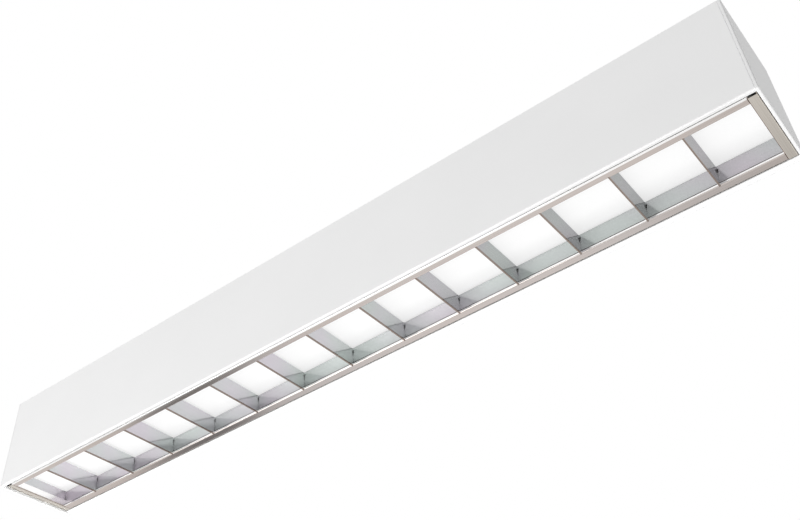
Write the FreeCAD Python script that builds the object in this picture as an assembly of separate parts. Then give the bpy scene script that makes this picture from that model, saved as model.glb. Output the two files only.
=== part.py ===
import FreeCAD, Part
import math
import os
from FreeCAD import Vector

# Linear ceiling light with a hinged blade louvre. Millimetres.
# X runs along the light, -Y is the front, the ceiling face is Z = 0 and the body hangs below it.

# Overall size
LENGTH = 1200.0
WIDTH = 127.0
HEIGHT = 145.0

# Housing: one folded sheet, open below, with hems that rise a little towards the mouth
SHEET = 1.2
INNER_BEND_RADIUS = 0.5
HEM_WIDTH = 6.8
HEM_RISE = 3.0
CEILING_HOLE_INSET = 150.0
CEILING_HOLE_RADIUS = 3.25
CABLE_HOLE_RADIUS = 11.0

# Plates that stiffen the housing at the ceiling holes
STIFFENER_LENGTH = 70.0
STIFFENER_WIDTH = 60.0
STIFFENER_THICKNESS = 2.0

# Bushing in the cable hole
BUSHING_BORE_RADIUS = 6.5
BUSHING_FLANGE = 3.0
BUSHING_FLANGE_THICKNESS = 2.0
BUSHING_CLEARANCE = 0.1

# End caps: a rounded plate with a rim that slips into the housing
CAP_THICKNESS = 4.0
CAP_EDGE_RADIUS = 1.5
CAP_SEAM_CHAMFER = 0.6
CAP_RIM_DEPTH = 10.0
CAP_RIM_HEIGHT = 92.0
CAP_RIM_WALL = 1.5
CAP_RIM_CLEARANCE = 0.2
CAP_BOSS_RADIUS = 4.5
CAP_BOSS_LENGTH = 14.0
CAP_BOSS_SPACING = 56.0
CAP_BOSS_DROP = 28.0
PIN_HOLE_FLOOR = 1.0

# Brackets that hold the caps and hang the gear tray
BRACKET_SHEET = 1.5
BRACKET_BEND_RADIUS = 1.0
BRACKET_WIDTH = 80.0
BRACKET_TOP_LEG = 30.0
BRACKET_FOOT = 26.0

# Gear tray
TRAY_DROP = 60.0
TRAY_SHEET = 1.0
TRAY_BEND_RADIUS = 0.8
TRAY_WIDTH = 92.0
TRAY_FLANGE = 9.0
TRAY_END_GAP = 6.0
TRAY_SCREW_SPACING = 62.0
TRAY_SCREW_INSET = 9.0

# Screws of caps, tray and driver
SCREW_RADIUS = 2.0
SCREW_HEAD_RADIUS = 3.6
SCREW_HEAD_HEIGHT = 2.0
SCREW_CLEARANCE = 0.1
CAP_SCREW_BITE = 8.0
TRAY_SCREW_TAIL = 3.0

# LED boards under the tray
BOARD_WIDTH = 36.0
BOARD_THICKNESS = 1.6
BOARD_GAP = 6.0
BOARD_END_INSET = 4.0
BOARD_SCREW_INSET = 40.0
BOARD_SCREW_SPACING = 24.0
BOARD_SCREW_RADIUS = 1.5
BOARD_SCREW_HEAD_RADIUS = 2.6
BOARD_SCREW_HEAD_HEIGHT = 1.6
BOARD_SCREW_TAIL = 2.0
LED_SIZE = 5.0
LED_HEIGHT = 0.8
LED_PITCH = 22.0
LED_FIRST = 20.0
LINK_LENGTH = 24.0
LINK_WIDTH = 9.0
LINK_HEIGHT = 3.5
CONNECTOR_LENGTH = 11.0
CONNECTOR_WIDTH = 9.0
CONNECTOR_HEIGHT = 5.0
CONNECTOR_EDGE = 1.0

# LED driver on the tray
DRIVER_START = 70.0
DRIVER_LENGTH = 280.0
DRIVER_WIDTH = 42.0
DRIVER_HEIGHT = 30.0
DRIVER_ROUNDING = 2.0
DRIVER_EAR = 12.0
DRIVER_EAR_THICKNESS = 1.5
DRIVER_HOLE_RISE = 12.0
DRIVER_MAINS_SPACING = 16.0
DRIVER_LED_SPACING = 10.0

# Terminal block and earth stud
TERMINAL_START = -76.0
TERMINAL_LENGTH = 26.0
TERMINAL_POLE = 11.0
TERMINAL_HEIGHT = 19.0
TERMINAL_HOLE_RISE = 7.0
TERMINAL_WELL_RADIUS = 2.6
TERMINAL_WELL_DEPTH = 7.0
EARTH_X = -12.0
EARTH_Y = 32.0
EARTH_STUD_RADIUS = 2.0
EARTH_STUD_HEIGHT = 12.0
EARTH_HEAD_RADIUS = 3.5
EARTH_HEAD_HEIGHT = 1.6
EARTH_NUT_FLATS = 7.0
EARTH_NUT_HEIGHT = 3.2
EARTH_RING_RADIUS = 4.6
EARTH_RING_THICKNESS = 1.0
EARTH_TONGUE = 11.0
EARTH_TONGUE_WIDTH = 4.0

# Leads inside the housing
LEAD_RADIUS = 1.1
LED_LEAD_RADIUS = 0.9
LEAD_HOLE_CLEARANCE = 0.2
LEAD_ENTRY = 4.0
LEAD_STRAIGHT = 9.0
LEAD_ARCH = 5.0
LEAD_BEND_RADIUS = 5.0
LED_LEAD_RUN = 36.0
LED_LEAD_SPACING = 4.0
TRAY_HOLE_Y = 30.0
TRAY_HOLE_RADIUS = 6.0
TRAY_BUSHING_BORE_RADIUS = 4.2
TRAY_BUSHING_FLANGE = 2.0
TRAY_BUSHING_FLANGE_THICKNESS = 1.2

# Opal diffuser that snaps over the tray
DIFFUSER_WALL = 1.8
DIFFUSER_CLEARANCE = 0.3
DIFFUSER_HOOK = 5.0
DIFFUSER_HOOK_THICKNESS = 2.0
DIFFUSER_ROUNDING = 5.0
DIFFUSER_END_GAP = 4.0
DIFFUSER_LOUVER_GAP = 2.5

# Louvre frame: channel-shaped rails, lips turned up
LOUVER_DEPTH = 24.0
LOUVER_GAP = 1.7
LOUVER_END_GAP = 1.0
RAIL_SHEET = 0.8
RAIL_BEND_RADIUS = 0.5
SIDE_RAIL_WIDTH = 10.8
SIDE_RAIL_LIP = 3.0
SIDE_RAIL_WALL = 8.0
END_RAIL_WIDTH = 11.0
END_RAIL_WALL = 10.0
END_RAIL_NOTCH = 1.8

# Reflectors that stand in the rails
REFLECTOR_SHEET = 0.8
REFLECTOR_SEAT_GAP = 0.2
REFLECTOR_LEAN = 4.2
REFLECTOR_FLANGE = 9.0
END_REFLECTOR_RISE = 0.6
END_REFLECTOR_LEAN = 1.6

# Cross blades: a sheet folded to a V
BLADE_PITCH = 85.3
BLADE_SHEET = 0.5
BLADE_FOLD_GAP = 0.2
BLADE_FOLD_HEIGHT = 1.0
BLADE_TOP = 6.4
BLADE_RECESS = 0.3
BLADE_SLOT_CLEARANCE = 0.15
BLADE_END_CLEARANCE = 0.1
BLADE_TAB_RISE = 12.5
BLADE_TAB_HEIGHT = 7.0
BLADE_TAB_LENGTH = 3.0
REFLECTOR_SLOT_MARGIN = 1.8
REFLECTOR_SLOT_FOOT_CLEARANCE = 0.3
REFLECTOR_SLOT_HEAD_CLEARANCE = 2.4

# Gussets, cleats and rivets that tie the louvre frame
GUSSET_THICKNESS = 0.8
GUSSET_ARM = 18.0
GUSSET_WIDTH = 7.0
CLEAT_SHEET = 1.0
CLEAT_LENGTH = 10.0
CLEAT_HEIGHT = 7.0
CLEAT_CLEARANCE = 0.1
RIVET_RADIUS = 0.8
RIVET_HEAD_RADIUS = 1.5
RIVET_HEAD_HEIGHT = 0.6
RIVET_CLEARANCE = 0.05

# Hinge pins at the back and slide catches at the front of the end rails
PIVOT_INSET = 2.5
PIVOT_RISE = 4.0
PIN_RADIUS = 1.5
PIN_CLEARANCE = 0.05
PIN_HEAD_RADIUS = 2.3
PIN_HEAD_HEIGHT = 1.5
PIN_BITE = 2.5
CATCH_HOLE_CLEARANCE = 0.2
CATCH_BLOCK_LENGTH = 3.5
CATCH_BLOCK_HALF_WIDTH = 2.3
CATCH_BLOCK_HEIGHT = 6.2
CATCH_TAB_GAP = 0.4
CATCH_TAB_THICKNESS = 1.5
CATCH_TAB_HEIGHT = 2.4
CATCH_TAB_REACH = 1.2
CATCH_TIP_SETBACK = 0.2

# Places worked out from the sizes above
half_length = LENGTH / 2
half_width = WIDTH / 2
ceiling_hole_x = half_length - CEILING_HOLE_INSET
cap_inner = half_length - CAP_THICKNESS
inside_half = half_width - SHEET
hem_inner = half_width - HEM_WIDTH
bend_radius = INNER_BEND_RADIUS + SHEET
bracket_outer = cap_inner - CAP_BOSS_LENGTH
bracket_inner = bracket_outer - BRACKET_SHEET
bracket_foot_end = bracket_outer - BRACKET_FOOT
tray_top = -TRAY_DROP
tray_bottom = tray_top - TRAY_SHEET
tray_half_length = cap_inner - TRAY_END_GAP
tray_half_width = TRAY_WIDTH / 2
tray_screw_x = bracket_foot_end + TRAY_SCREW_INSET
board_bottom = tray_bottom - BOARD_THICKNESS
board_end = tray_half_length - BOARD_END_INSET
driver_end = DRIVER_START + DRIVER_LENGTH
driver_hole_z = tray_top + DRIVER_HOLE_RISE
terminal_end = TERMINAL_START + TERMINAL_LENGTH
terminal_hole_z = tray_top + TERMINAL_HOLE_RISE
lead_hole_radius = LEAD_RADIUS + LEAD_HOLE_CLEARANCE
led_lead_hole_radius = LED_LEAD_RADIUS + LEAD_HOLE_CLEARANCE
connector_x = driver_end + LED_LEAD_RUN
connector_z = board_bottom - CONNECTOR_HEIGHT / 2
louver_bottom = -HEIGHT + HEM_RISE
louver_top = louver_bottom + LOUVER_DEPTH
louver_half = hem_inner - LOUVER_GAP
louver_end = cap_inner - LOUVER_END_GAP
rail_floor = louver_bottom + RAIL_SHEET
side_rail_inner = louver_half - SIDE_RAIL_WIDTH
end_rail_inner = louver_end - END_RAIL_WIDTH
rail_seat = RAIL_SHEET + RAIL_BEND_RADIUS
reflector_foot = side_rail_inner + rail_seat + REFLECTOR_SEAT_GAP
reflector_head = reflector_foot - REFLECTOR_LEAN
end_reflector_foot = end_rail_inner + rail_seat + REFLECTOR_SEAT_GAP
end_reflector_bend = louver_bottom + END_RAIL_WALL + END_REFLECTOR_RISE
end_reflector_head = end_reflector_foot - END_REFLECTOR_LEAN
blade_edge = 2 * BLADE_SHEET + BLADE_FOLD_GAP
blade_bottom = louver_bottom + BLADE_RECESS
blade_tab_low = louver_bottom + BLADE_TAB_RISE
blade_tab_high = blade_tab_low + BLADE_TAB_HEIGHT
blade_count = int(2 * end_rail_inner / BLADE_PITCH)
blade_first = -(blade_count - 1) * BLADE_PITCH / 2
diffuser_bottom = louver_top + DIFFUSER_LOUVER_GAP
diffuser_inner = tray_half_width + DIFFUSER_CLEARANCE
diffuser_outer = diffuser_inner + DIFFUSER_WALL
pivot_y = louver_half - PIVOT_INSET
pivot_z = louver_bottom + PIVOT_RISE
along_x = Vector(1, 0, 0)
along_y = Vector(0, 1, 0)
along_z = Vector(0, 0, 1)


# Shared shapes
def box(x0, x1, y0, y1, z0, z1):
    return Part.makeBox(x1 - x0, y1 - y0, z1 - z0, Vector(x0, y0, z0))


def rod(start, direction, radius, length):
    return Part.makeCylinder(radius, length, start, direction)


def arc(first, middle, last):
    return Part.Arc(first, middle, last).toShape()


def line(first, last):
    return Part.LineSegment(first, last).toShape()


def prism(edges, path):
    return Part.Face(Part.Wire(edges)).extrude(path)


def straight_prism(corners, path):
    """Prism over an outline of straight edges."""
    return prism([line(a, b) for a, b in zip(corners, corners[1:] + corners[:1])], path)


def round_corner(before, corner, after, radius):
    """Where a rounding starts, its middle and where it ends."""
    back = (before - corner).normalize()
    ahead = (after - corner).normalize()
    half_angle = back.getAngle(ahead) / 2
    setback = radius / math.tan(half_angle)
    rise = radius / math.sin(half_angle) - radius
    return corner + back * setback, corner + (back + ahead).normalize() * rise, corner + ahead * setback


def folded_sheet(outer, inner, thickness, bend_radius, run):
    """Sheet with parallel faces through two rows of corner points, its bends rounded, along a run."""
    radii = [0] + [bend_radius + thickness] * (len(outer) - 2) + [0]
    radii += [0] + [bend_radius] * (len(inner) - 2) + [0]
    points = outer + inner[::-1]
    edges = []
    leave = points[-1]
    for i, radius in enumerate(radii):
        if radius == 0:
            edges.append(line(leave, points[i]))
            leave = points[i]
        else:
            entry, middle, end = round_corner(points[i - 1], points[i], points[i + 1], radius)
            edges += [line(leave, entry), arc(entry, middle, end)]
            leave = end
    return prism(edges, run)


def round_long_edges(block, radius, level):
    """Round the two edges of a block that run along X at one height."""
    edges = []
    for edge in block.Edges:
        runs_along_x = abs(edge.tangentAt(edge.FirstParameter).x) > 0.9
        if runs_along_x and abs(edge.CenterOfMass.z - level) < 0.001:
            edges.append(edge)
    return block.makeFillet(radius, edges)


def edges_at(block, x):
    """Edges of a block that lie in the plane at one X."""
    edges = []
    for edge in block.Edges:
        if abs(edge.BoundBox.XMin - x) < 0.001 and abs(edge.BoundBox.XMax - x) < 0.001:
            edges.append(edge)
    return edges


def rounded_bar(x0, x1, half, z0, z1, radius):
    """Block along X whose four long edges are rounded."""
    block = box(x0, x1, -half, half, z0, z1)
    return round_long_edges(round_long_edges(block, radius, z0), radius, z1)


def mirror_x(shape):
    return shape.mirror(Vector(0, 0, 0), along_x)


def mirror_y(shape):
    return shape.mirror(Vector(0, 0, 0), along_y)


def headed_pin(seat, direction, head_radius, head_height, radius, length):
    """Head on its seat, with the shank running along the direction."""
    head = rod(seat - direction * head_height, direction, head_radius, head_height)
    return head.fuse(rod(seat, direction, radius, length)).removeSplitter()


def rivet(seat, direction, grip):
    """Rivet with a head on both sides of what it grips."""
    body = headed_pin(seat, direction, RIVET_HEAD_RADIUS, RIVET_HEAD_HEIGHT, RIVET_RADIUS, grip)
    tail = rod(seat + direction * grip, direction, RIVET_HEAD_RADIUS, RIVET_HEAD_HEIGHT)
    return body.fuse(tail).removeSplitter()


def lead(points, radius):
    """Insulated lead along straight runs that are joined by round bends."""
    edges = []
    leave = points[0]
    for before, corner, after in zip(points, points[1:], points[2:]):
        entry, middle, end = round_corner(before, corner, after, LEAD_BEND_RADIUS)
        edges += [line(leave, entry), arc(entry, middle, end)]
        leave = end
    edges.append(line(leave, points[-1]))
    ring = Part.makeCircle(radius, points[0], points[1] - points[0])
    return Part.Wire(edges).makePipe(Part.Face(Part.Wire(ring)))


def save(name, shape):
    shape.exportStep("parts/" + name + ".step")


def save_pair(name, right):
    """A piece at the right end and its mirror image at the left end."""
    save(name + "_right", right)
    save(name + "_left", mirror_x(right))


# Places of fasteners that several pieces share
def cap_screw_places():
    reach = CAP_BOSS_SPACING / 2
    return [Vector(bracket_inner, y, -CAP_BOSS_DROP) for y in (-reach, reach)]


def tray_screw_places():
    reach = TRAY_SCREW_SPACING / 2
    return [Vector(tray_screw_x, y, tray_bottom) for y in (-reach, reach)]


def board_screw_places():
    """Screw places of the right-hand board."""
    reach = BOARD_SCREW_SPACING / 2
    places = []
    for x in (BOARD_GAP / 2 + BOARD_SCREW_INSET, board_end - BOARD_SCREW_INSET):
        for y in (-reach, reach):
            places.append(Vector(x, y, board_bottom))
    return places


def driver_screw_places():
    level = tray_top + DRIVER_EAR_THICKNESS
    ear_middle = DRIVER_EAR / 2
    return [Vector(x, 0, level) for x in (DRIVER_START - ear_middle, driver_end + ear_middle)]


def blade_places():
    return [blade_first + i * BLADE_PITCH for i in range(blade_count)]


def blade_half(z):
    """Half of a blade's thickness at a height."""
    share = (z - blade_bottom) / (louver_top - blade_bottom)
    return blade_edge / 2 + share * (BLADE_TOP - blade_edge) / 2


# Housing and what is fixed to its top
def both_sides(row):
    """Corner points of a section from the front over the top to the back, from those of its back half."""
    return [Vector(point.x, -point.y, point.z) for point in row[::-1]] + row


def make_housing():
    slope = math.atan(HEM_RISE / HEM_WIDTH)
    hem_height = SHEET / math.cos(slope)
    start = -cap_inner
    outer = [Vector(start, half_width, 0), Vector(start, half_width, -HEIGHT), Vector(start, hem_inner, louver_bottom)]
    inner = [Vector(start, inside_half, -SHEET),
             Vector(start, inside_half, -HEIGHT + SHEET * math.tan(slope) + hem_height),
             Vector(start, hem_inner, louver_bottom + hem_height)]
    housing = folded_sheet(both_sides(outer), both_sides(inner), SHEET, INNER_BEND_RADIUS, along_x * (2 * cap_inner))
    for x in (-ceiling_hole_x, ceiling_hole_x):
        housing = housing.cut(rod(Vector(x, 0, -2 * SHEET), along_z, CEILING_HOLE_RADIUS, 3 * SHEET))
    return housing.cut(rod(Vector(0, 0, -2 * SHEET), along_z, CABLE_HOLE_RADIUS, 3 * SHEET))


def make_stiffener(x):
    low = -SHEET - STIFFENER_THICKNESS
    reach = STIFFENER_LENGTH / 2
    side = STIFFENER_WIDTH / 2
    plate = box(x - reach, x + reach, -side, side, low, -SHEET)
    return plate.cut(rod(Vector(x, 0, low), along_z, CEILING_HOLE_RADIUS, STIFFENER_THICKNESS))


def make_cable_bushing():
    low = -SHEET - BUSHING_FLANGE_THICKNESS
    flange_radius = CABLE_HOLE_RADIUS + BUSHING_FLANGE
    flange = rod(Vector(0, 0, low), along_z, flange_radius, BUSHING_FLANGE_THICKNESS)
    sleeve = rod(Vector(0, 0, low), along_z, CABLE_HOLE_RADIUS - BUSHING_CLEARANCE, -low)
    return flange.fuse(sleeve).cut(rod(Vector(0, 0, low), along_z, BUSHING_BORE_RADIUS, -low))


# End cap at the right-hand end
def make_end_cap():
    """Plate with a rounded outer edge and a chamfer at the seam, a rim, and bosses for the screws."""
    plate = rounded_bar(cap_inner, half_length, half_width, -HEIGHT, 0, bend_radius)
    plate = plate.makeFillet(CAP_EDGE_RADIUS, edges_at(plate, half_length))
    plate = plate.makeChamfer(CAP_SEAM_CHAMFER, edges_at(plate, cap_inner))
    cap = plate.fuse(make_cap_rim())
    for place in cap_screw_places():
        start = Vector(bracket_outer, place.y, place.z)
        cap = cap.fuse(rod(start, along_x, CAP_BOSS_RADIUS, CAP_BOSS_LENGTH))
        hole_depth = CAP_SCREW_BITE + SCREW_HEAD_HEIGHT
        cap = cap.cut(rod(start, along_x, SCREW_RADIUS + SCREW_CLEARANCE, hole_depth))
    depth = CAP_THICKNESS - PIN_HOLE_FLOOR
    hinge = Vector(cap_inner, pivot_y, pivot_z)
    catch = Vector(cap_inner, -pivot_y, pivot_z)
    cap = cap.cut(rod(hinge, along_x, PIN_RADIUS + PIN_CLEARANCE, depth))
    return cap.cut(rod(catch, along_x, PIN_RADIUS + CATCH_HOLE_CLEARANCE, depth)).removeSplitter()


def make_cap_rim():
    start = cap_inner - CAP_RIM_DEPTH
    outer = inside_half - CAP_RIM_CLEARANCE
    inner = outer - CAP_RIM_WALL
    top = -SHEET - CAP_RIM_CLEARANCE
    block = box(start, cap_inner, -outer, outer, -CAP_RIM_HEIGHT, top)
    block = round_long_edges(block, INNER_BEND_RADIUS, top)
    hollow = box(start, cap_inner, -inner, inner, -CAP_RIM_HEIGHT, top - CAP_RIM_WALL)
    return block.cut(hollow)


def make_cap_screws():
    grip = BRACKET_SHEET + CAP_SCREW_BITE
    screws = []
    for place in cap_screw_places():
        screw = headed_pin(place, along_x, SCREW_HEAD_RADIUS, SCREW_HEAD_HEIGHT, SCREW_RADIUS, grip)
        screws += [screw, mirror_x(screw)]
    return Part.makeCompound(screws)


# Bracket at the right-hand end: top leg under the housing, foot above the tray
def make_end_bracket():
    top = -SHEET
    leg_end = bracket_outer - BRACKET_TOP_LEG
    side = BRACKET_WIDTH / 2
    outer = [Vector(leg_end, -side, top), Vector(bracket_outer, -side, top),
             Vector(bracket_outer, -side, tray_top), Vector(bracket_foot_end, -side, tray_top)]
    under = top - BRACKET_SHEET
    above = tray_top + BRACKET_SHEET
    inner = [Vector(leg_end, -side, under), Vector(bracket_inner, -side, under),
             Vector(bracket_inner, -side, above), Vector(bracket_foot_end, -side, above)]
    bracket = folded_sheet(outer, inner, BRACKET_SHEET, BRACKET_BEND_RADIUS, along_y * BRACKET_WIDTH)
    radius = SCREW_RADIUS + SCREW_CLEARANCE
    for place in cap_screw_places():
        bracket = bracket.cut(rod(place, along_x, radius, BRACKET_SHEET))
    for place in tray_screw_places():
        bracket = bracket.cut(rod(place, along_z, radius, TRAY_SHEET + BRACKET_SHEET))
    return bracket


# Gear tray with its flanges turned down
def make_tray():
    start = -tray_half_length
    flange_end = tray_top - TRAY_FLANGE
    inside = tray_half_width - TRAY_SHEET
    outer = [Vector(start, -tray_half_width, flange_end), Vector(start, -tray_half_width, tray_top),
             Vector(start, tray_half_width, tray_top), Vector(start, tray_half_width, flange_end)]
    inner = [Vector(start, -inside, flange_end), Vector(start, -inside, tray_bottom),
             Vector(start, inside, tray_bottom), Vector(start, inside, flange_end)]
    run = along_x * (2 * tray_half_length)
    tray = folded_sheet(outer, inner, TRAY_SHEET, TRAY_BEND_RADIUS, run)
    radius = SCREW_RADIUS + SCREW_CLEARANCE
    holes = []
    for place in tray_screw_places():
        hole = rod(place, along_z, radius, TRAY_SHEET)
        holes += [hole, mirror_x(hole)]
    for place in board_screw_places():
        start = Vector(place.x, place.y, tray_bottom)
        hole = rod(start, along_z, BOARD_SCREW_RADIUS + SCREW_CLEARANCE, TRAY_SHEET)
        holes += [hole, mirror_x(hole)]
    for place in driver_screw_places():
        holes.append(rod(Vector(place.x, place.y, tray_bottom), along_z, radius, TRAY_SHEET))
    earth = Vector(EARTH_X, EARTH_Y, tray_bottom)
    holes.append(rod(earth, along_z, EARTH_STUD_RADIUS + SCREW_CLEARANCE, TRAY_SHEET))
    holes.append(rod(Vector(connector_x, TRAY_HOLE_Y, tray_bottom), along_z, TRAY_HOLE_RADIUS, TRAY_SHEET))
    return tray.cut(holes)


def make_tray_screws():
    grip = TRAY_SHEET + BRACKET_SHEET + TRAY_SCREW_TAIL
    screws = []
    for place in tray_screw_places():
        screw = headed_pin(place, along_z, SCREW_HEAD_RADIUS, SCREW_HEAD_HEIGHT, SCREW_RADIUS, grip)
        screws += [screw, mirror_x(screw)]
    return Part.makeCompound(screws)


def make_tray_bushing():
    start = Vector(connector_x, TRAY_HOLE_Y, tray_bottom)
    rest = Vector(connector_x, TRAY_HOLE_Y, tray_top)
    flange_radius = TRAY_HOLE_RADIUS + TRAY_BUSHING_FLANGE
    height = TRAY_SHEET + TRAY_BUSHING_FLANGE_THICKNESS
    sleeve = rod(start, along_z, TRAY_HOLE_RADIUS - BUSHING_CLEARANCE, height)
    flange = rod(rest, along_z, flange_radius, TRAY_BUSHING_FLANGE_THICKNESS)
    return sleeve.fuse(flange).cut(rod(start, along_z, TRAY_BUSHING_BORE_RADIUS, height))


# LED boards, their packages and what joins them
def make_board():
    side = BOARD_WIDTH / 2
    board = box(BOARD_GAP / 2, board_end, -side, side, board_bottom, tray_bottom)
    for place in board_screw_places():
        radius = BOARD_SCREW_RADIUS + SCREW_CLEARANCE
        board = board.cut(rod(place, along_z, radius, BOARD_THICKNESS))
    return board


def make_led_packages():
    first = BOARD_GAP / 2 + LED_FIRST
    count = int((board_end - LED_FIRST - first) / LED_PITCH) + 1
    reach = LED_SIZE / 2
    packages = []
    for i in range(count):
        x = first + i * LED_PITCH
        packages.append(box(x - reach, x + reach, -reach, reach, board_bottom - LED_HEIGHT, board_bottom))
    return Part.makeCompound(packages)


def make_board_screws():
    grip = BOARD_THICKNESS + TRAY_SHEET + BOARD_SCREW_TAIL
    screws = []
    for place in board_screw_places():
        screw = headed_pin(place, along_z, BOARD_SCREW_HEAD_RADIUS, BOARD_SCREW_HEAD_HEIGHT,
                           BOARD_SCREW_RADIUS, grip)
        screws += [screw, mirror_x(screw)]
    return Part.makeCompound(screws)


def make_board_link():
    reach = LINK_LENGTH / 2
    side = LINK_WIDTH / 2
    return box(-reach, reach, -side, side, board_bottom - LINK_HEIGHT, board_bottom)


def make_led_connector():
    reach = CONNECTOR_LENGTH / 2
    outer = BOARD_WIDTH / 2 - CONNECTOR_EDGE
    inner = outer - CONNECTOR_WIDTH
    low = board_bottom - CONNECTOR_HEIGHT
    body = box(connector_x - reach, connector_x + reach, inner, outer, low, board_bottom)
    for x in led_lead_columns():
        entry = Vector(x, outer, connector_z)
        body = body.cut(rod(entry, -along_y, led_lead_hole_radius, 2 * LEAD_ENTRY))
    return body


def led_lead_columns():
    reach = LED_LEAD_SPACING / 2
    return [connector_x - reach, connector_x + reach]


# LED driver: closed case with two fixing ears
def make_driver():
    side = DRIVER_WIDTH / 2
    top = tray_top + DRIVER_HEIGHT
    case = box(DRIVER_START, driver_end, -side, side, tray_top, top)
    case = round_long_edges(case, DRIVER_ROUNDING, top)
    ears = box(DRIVER_START - DRIVER_EAR, driver_end + DRIVER_EAR, -side, side,
               tray_top, tray_top + DRIVER_EAR_THICKNESS)
    driver = case.fuse(ears).removeSplitter()
    for place in driver_screw_places():
        start = Vector(place.x, place.y, tray_top)
        driver = driver.cut(rod(start, along_z, SCREW_RADIUS + SCREW_CLEARANCE, DRIVER_EAR_THICKNESS))
    for y in driver_mains_rows():
        entry = Vector(DRIVER_START, y, driver_hole_z)
        driver = driver.cut(rod(entry, along_x, lead_hole_radius, 2 * LEAD_ENTRY))
    for y in driver_led_rows():
        entry = Vector(driver_end, y, driver_hole_z)
        driver = driver.cut(rod(entry, -along_x, led_lead_hole_radius, 2 * LEAD_ENTRY))
    return driver


def driver_mains_rows():
    reach = DRIVER_MAINS_SPACING / 2
    return [-reach, reach]


def driver_led_rows():
    reach = DRIVER_LED_SPACING / 2
    return [-reach, reach]


def make_driver_screws():
    grip = DRIVER_EAR_THICKNESS + TRAY_SHEET
    screws = []
    for place in driver_screw_places():
        screw = headed_pin(place, -along_z, SCREW_HEAD_RADIUS, SCREW_HEAD_HEIGHT, SCREW_RADIUS, grip)
        screws.append(screw)
    return Part.makeCompound(screws)


# Terminal block with three poles
def terminal_rows():
    return [-TERMINAL_POLE, 0.0, TERMINAL_POLE]


def make_terminal_block():
    side = 1.5 * TERMINAL_POLE
    top = tray_top + TERMINAL_HEIGHT
    middle = (TERMINAL_START + terminal_end) / 2
    block = box(TERMINAL_START, terminal_end, -side, side, tray_top, top)
    for y in terminal_rows():
        entry = Vector(TERMINAL_START, y, terminal_hole_z)
        well = Vector(middle, y, top - TERMINAL_WELL_DEPTH)
        block = block.cut(rod(entry, along_x, lead_hole_radius, TERMINAL_LENGTH))
        block = block.cut(rod(well, along_z, TERMINAL_WELL_RADIUS, TERMINAL_WELL_DEPTH))
    return block


# Earth stud on the tray, its nut, and the leads
def make_earth_stud():
    seat = Vector(EARTH_X, EARTH_Y, tray_bottom)
    return headed_pin(seat, along_z, EARTH_HEAD_RADIUS, EARTH_HEAD_HEIGHT,
                      EARTH_STUD_RADIUS, TRAY_SHEET + EARTH_STUD_HEIGHT)


def make_earth_nut():
    low = tray_top + EARTH_RING_THICKNESS
    corner = EARTH_NUT_FLATS / 3 ** 0.5
    outline = Part.makePolygon([Vector(corner, 0, 0)] + [
        FreeCAD.Rotation(along_z, 60 * i).multVec(Vector(corner, 0, 0)) for i in range(1, 7)])
    nut = Part.Face(outline).extrude(along_z * EARTH_NUT_HEIGHT)
    nut.translate(Vector(EARTH_X, EARTH_Y, low))
    start = Vector(EARTH_X, EARTH_Y, low)
    return nut.cut(rod(start, along_z, EARTH_STUD_RADIUS + SCREW_CLEARANCE, EARTH_NUT_HEIGHT))


def make_earth_lead():
    """Lead from the third pole to a ring under the nut."""
    ring_place = Vector(EARTH_X, EARTH_Y, tray_top)
    tongue_side = EARTH_TONGUE_WIDTH / 2
    ring = rod(ring_place, along_z, EARTH_RING_RADIUS, EARTH_RING_THICKNESS)
    tongue = box(EARTH_X - EARTH_TONGUE, EARTH_X, EARTH_Y - tongue_side, EARTH_Y + tongue_side,
                 tray_top, tray_top + EARTH_RING_THICKNESS)
    hole = rod(ring_place, along_z, EARTH_STUD_RADIUS + SCREW_CLEARANCE, EARTH_RING_THICKNESS)
    terminal = ring.fuse(tongue).cut(hole)
    level = tray_top + EARTH_RING_THICKNESS + 0.8 * LEAD_RADIUS
    row = terminal_rows()[2]
    tongue_end = EARTH_X - EARTH_TONGUE
    points = [
        Vector(terminal_end - LEAD_ENTRY, row, terminal_hole_z),
        Vector(terminal_end + LEAD_STRAIGHT / 2, row, terminal_hole_z),
        Vector((terminal_end + tongue_end) / 2, (row + EARTH_Y) / 2, terminal_hole_z),
        Vector(tongue_end, EARTH_Y, level),
        Vector(tongue_end + EARTH_TONGUE - EARTH_RING_RADIUS - LEAD_RADIUS, EARTH_Y, level),
    ]
    return lead(points, LEAD_RADIUS).fuse(terminal)


def make_mains_leads():
    """Line and neutral, from the block to the driver."""
    leads = []
    for start_row, end_row in zip(terminal_rows(), driver_mains_rows()):
        start = Vector(terminal_end - LEAD_ENTRY, start_row, terminal_hole_z)
        end = Vector(DRIVER_START + LEAD_ENTRY, end_row, driver_hole_z)
        middle = (start + end) / 2 + along_z * LEAD_ARCH
        points = [start, start + along_x * LEAD_STRAIGHT, middle, end - along_x * LEAD_STRAIGHT, end]
        leads.append(lead(points, LEAD_RADIUS))
    return Part.makeCompound(leads)


def make_led_leads():
    """Two leads from the driver through the tray to the connector."""
    entry = BOARD_WIDTH / 2 - CONNECTOR_EDGE
    leads = []
    for row, column in zip(driver_led_rows(), reversed(led_lead_columns())):
        points = [
            Vector(driver_end - LEAD_ENTRY, row, driver_hole_z),
            Vector(driver_end + LEAD_STRAIGHT, row, driver_hole_z),
            Vector(column - LEAD_STRAIGHT, (row + TRAY_HOLE_Y) / 2, driver_hole_z + LEAD_ARCH),
            Vector(column, TRAY_HOLE_Y, tray_top + 2 * LEAD_ARCH),
            Vector(column, TRAY_HOLE_Y, tray_bottom - TRAY_SHEET),
            Vector(column, entry + LEAD_ENTRY, connector_z),
            Vector(column, entry - LEAD_ENTRY, connector_z),
        ]
        leads.append(lead(points, LED_LEAD_RADIUS))
    return Part.makeCompound(leads)


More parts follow.
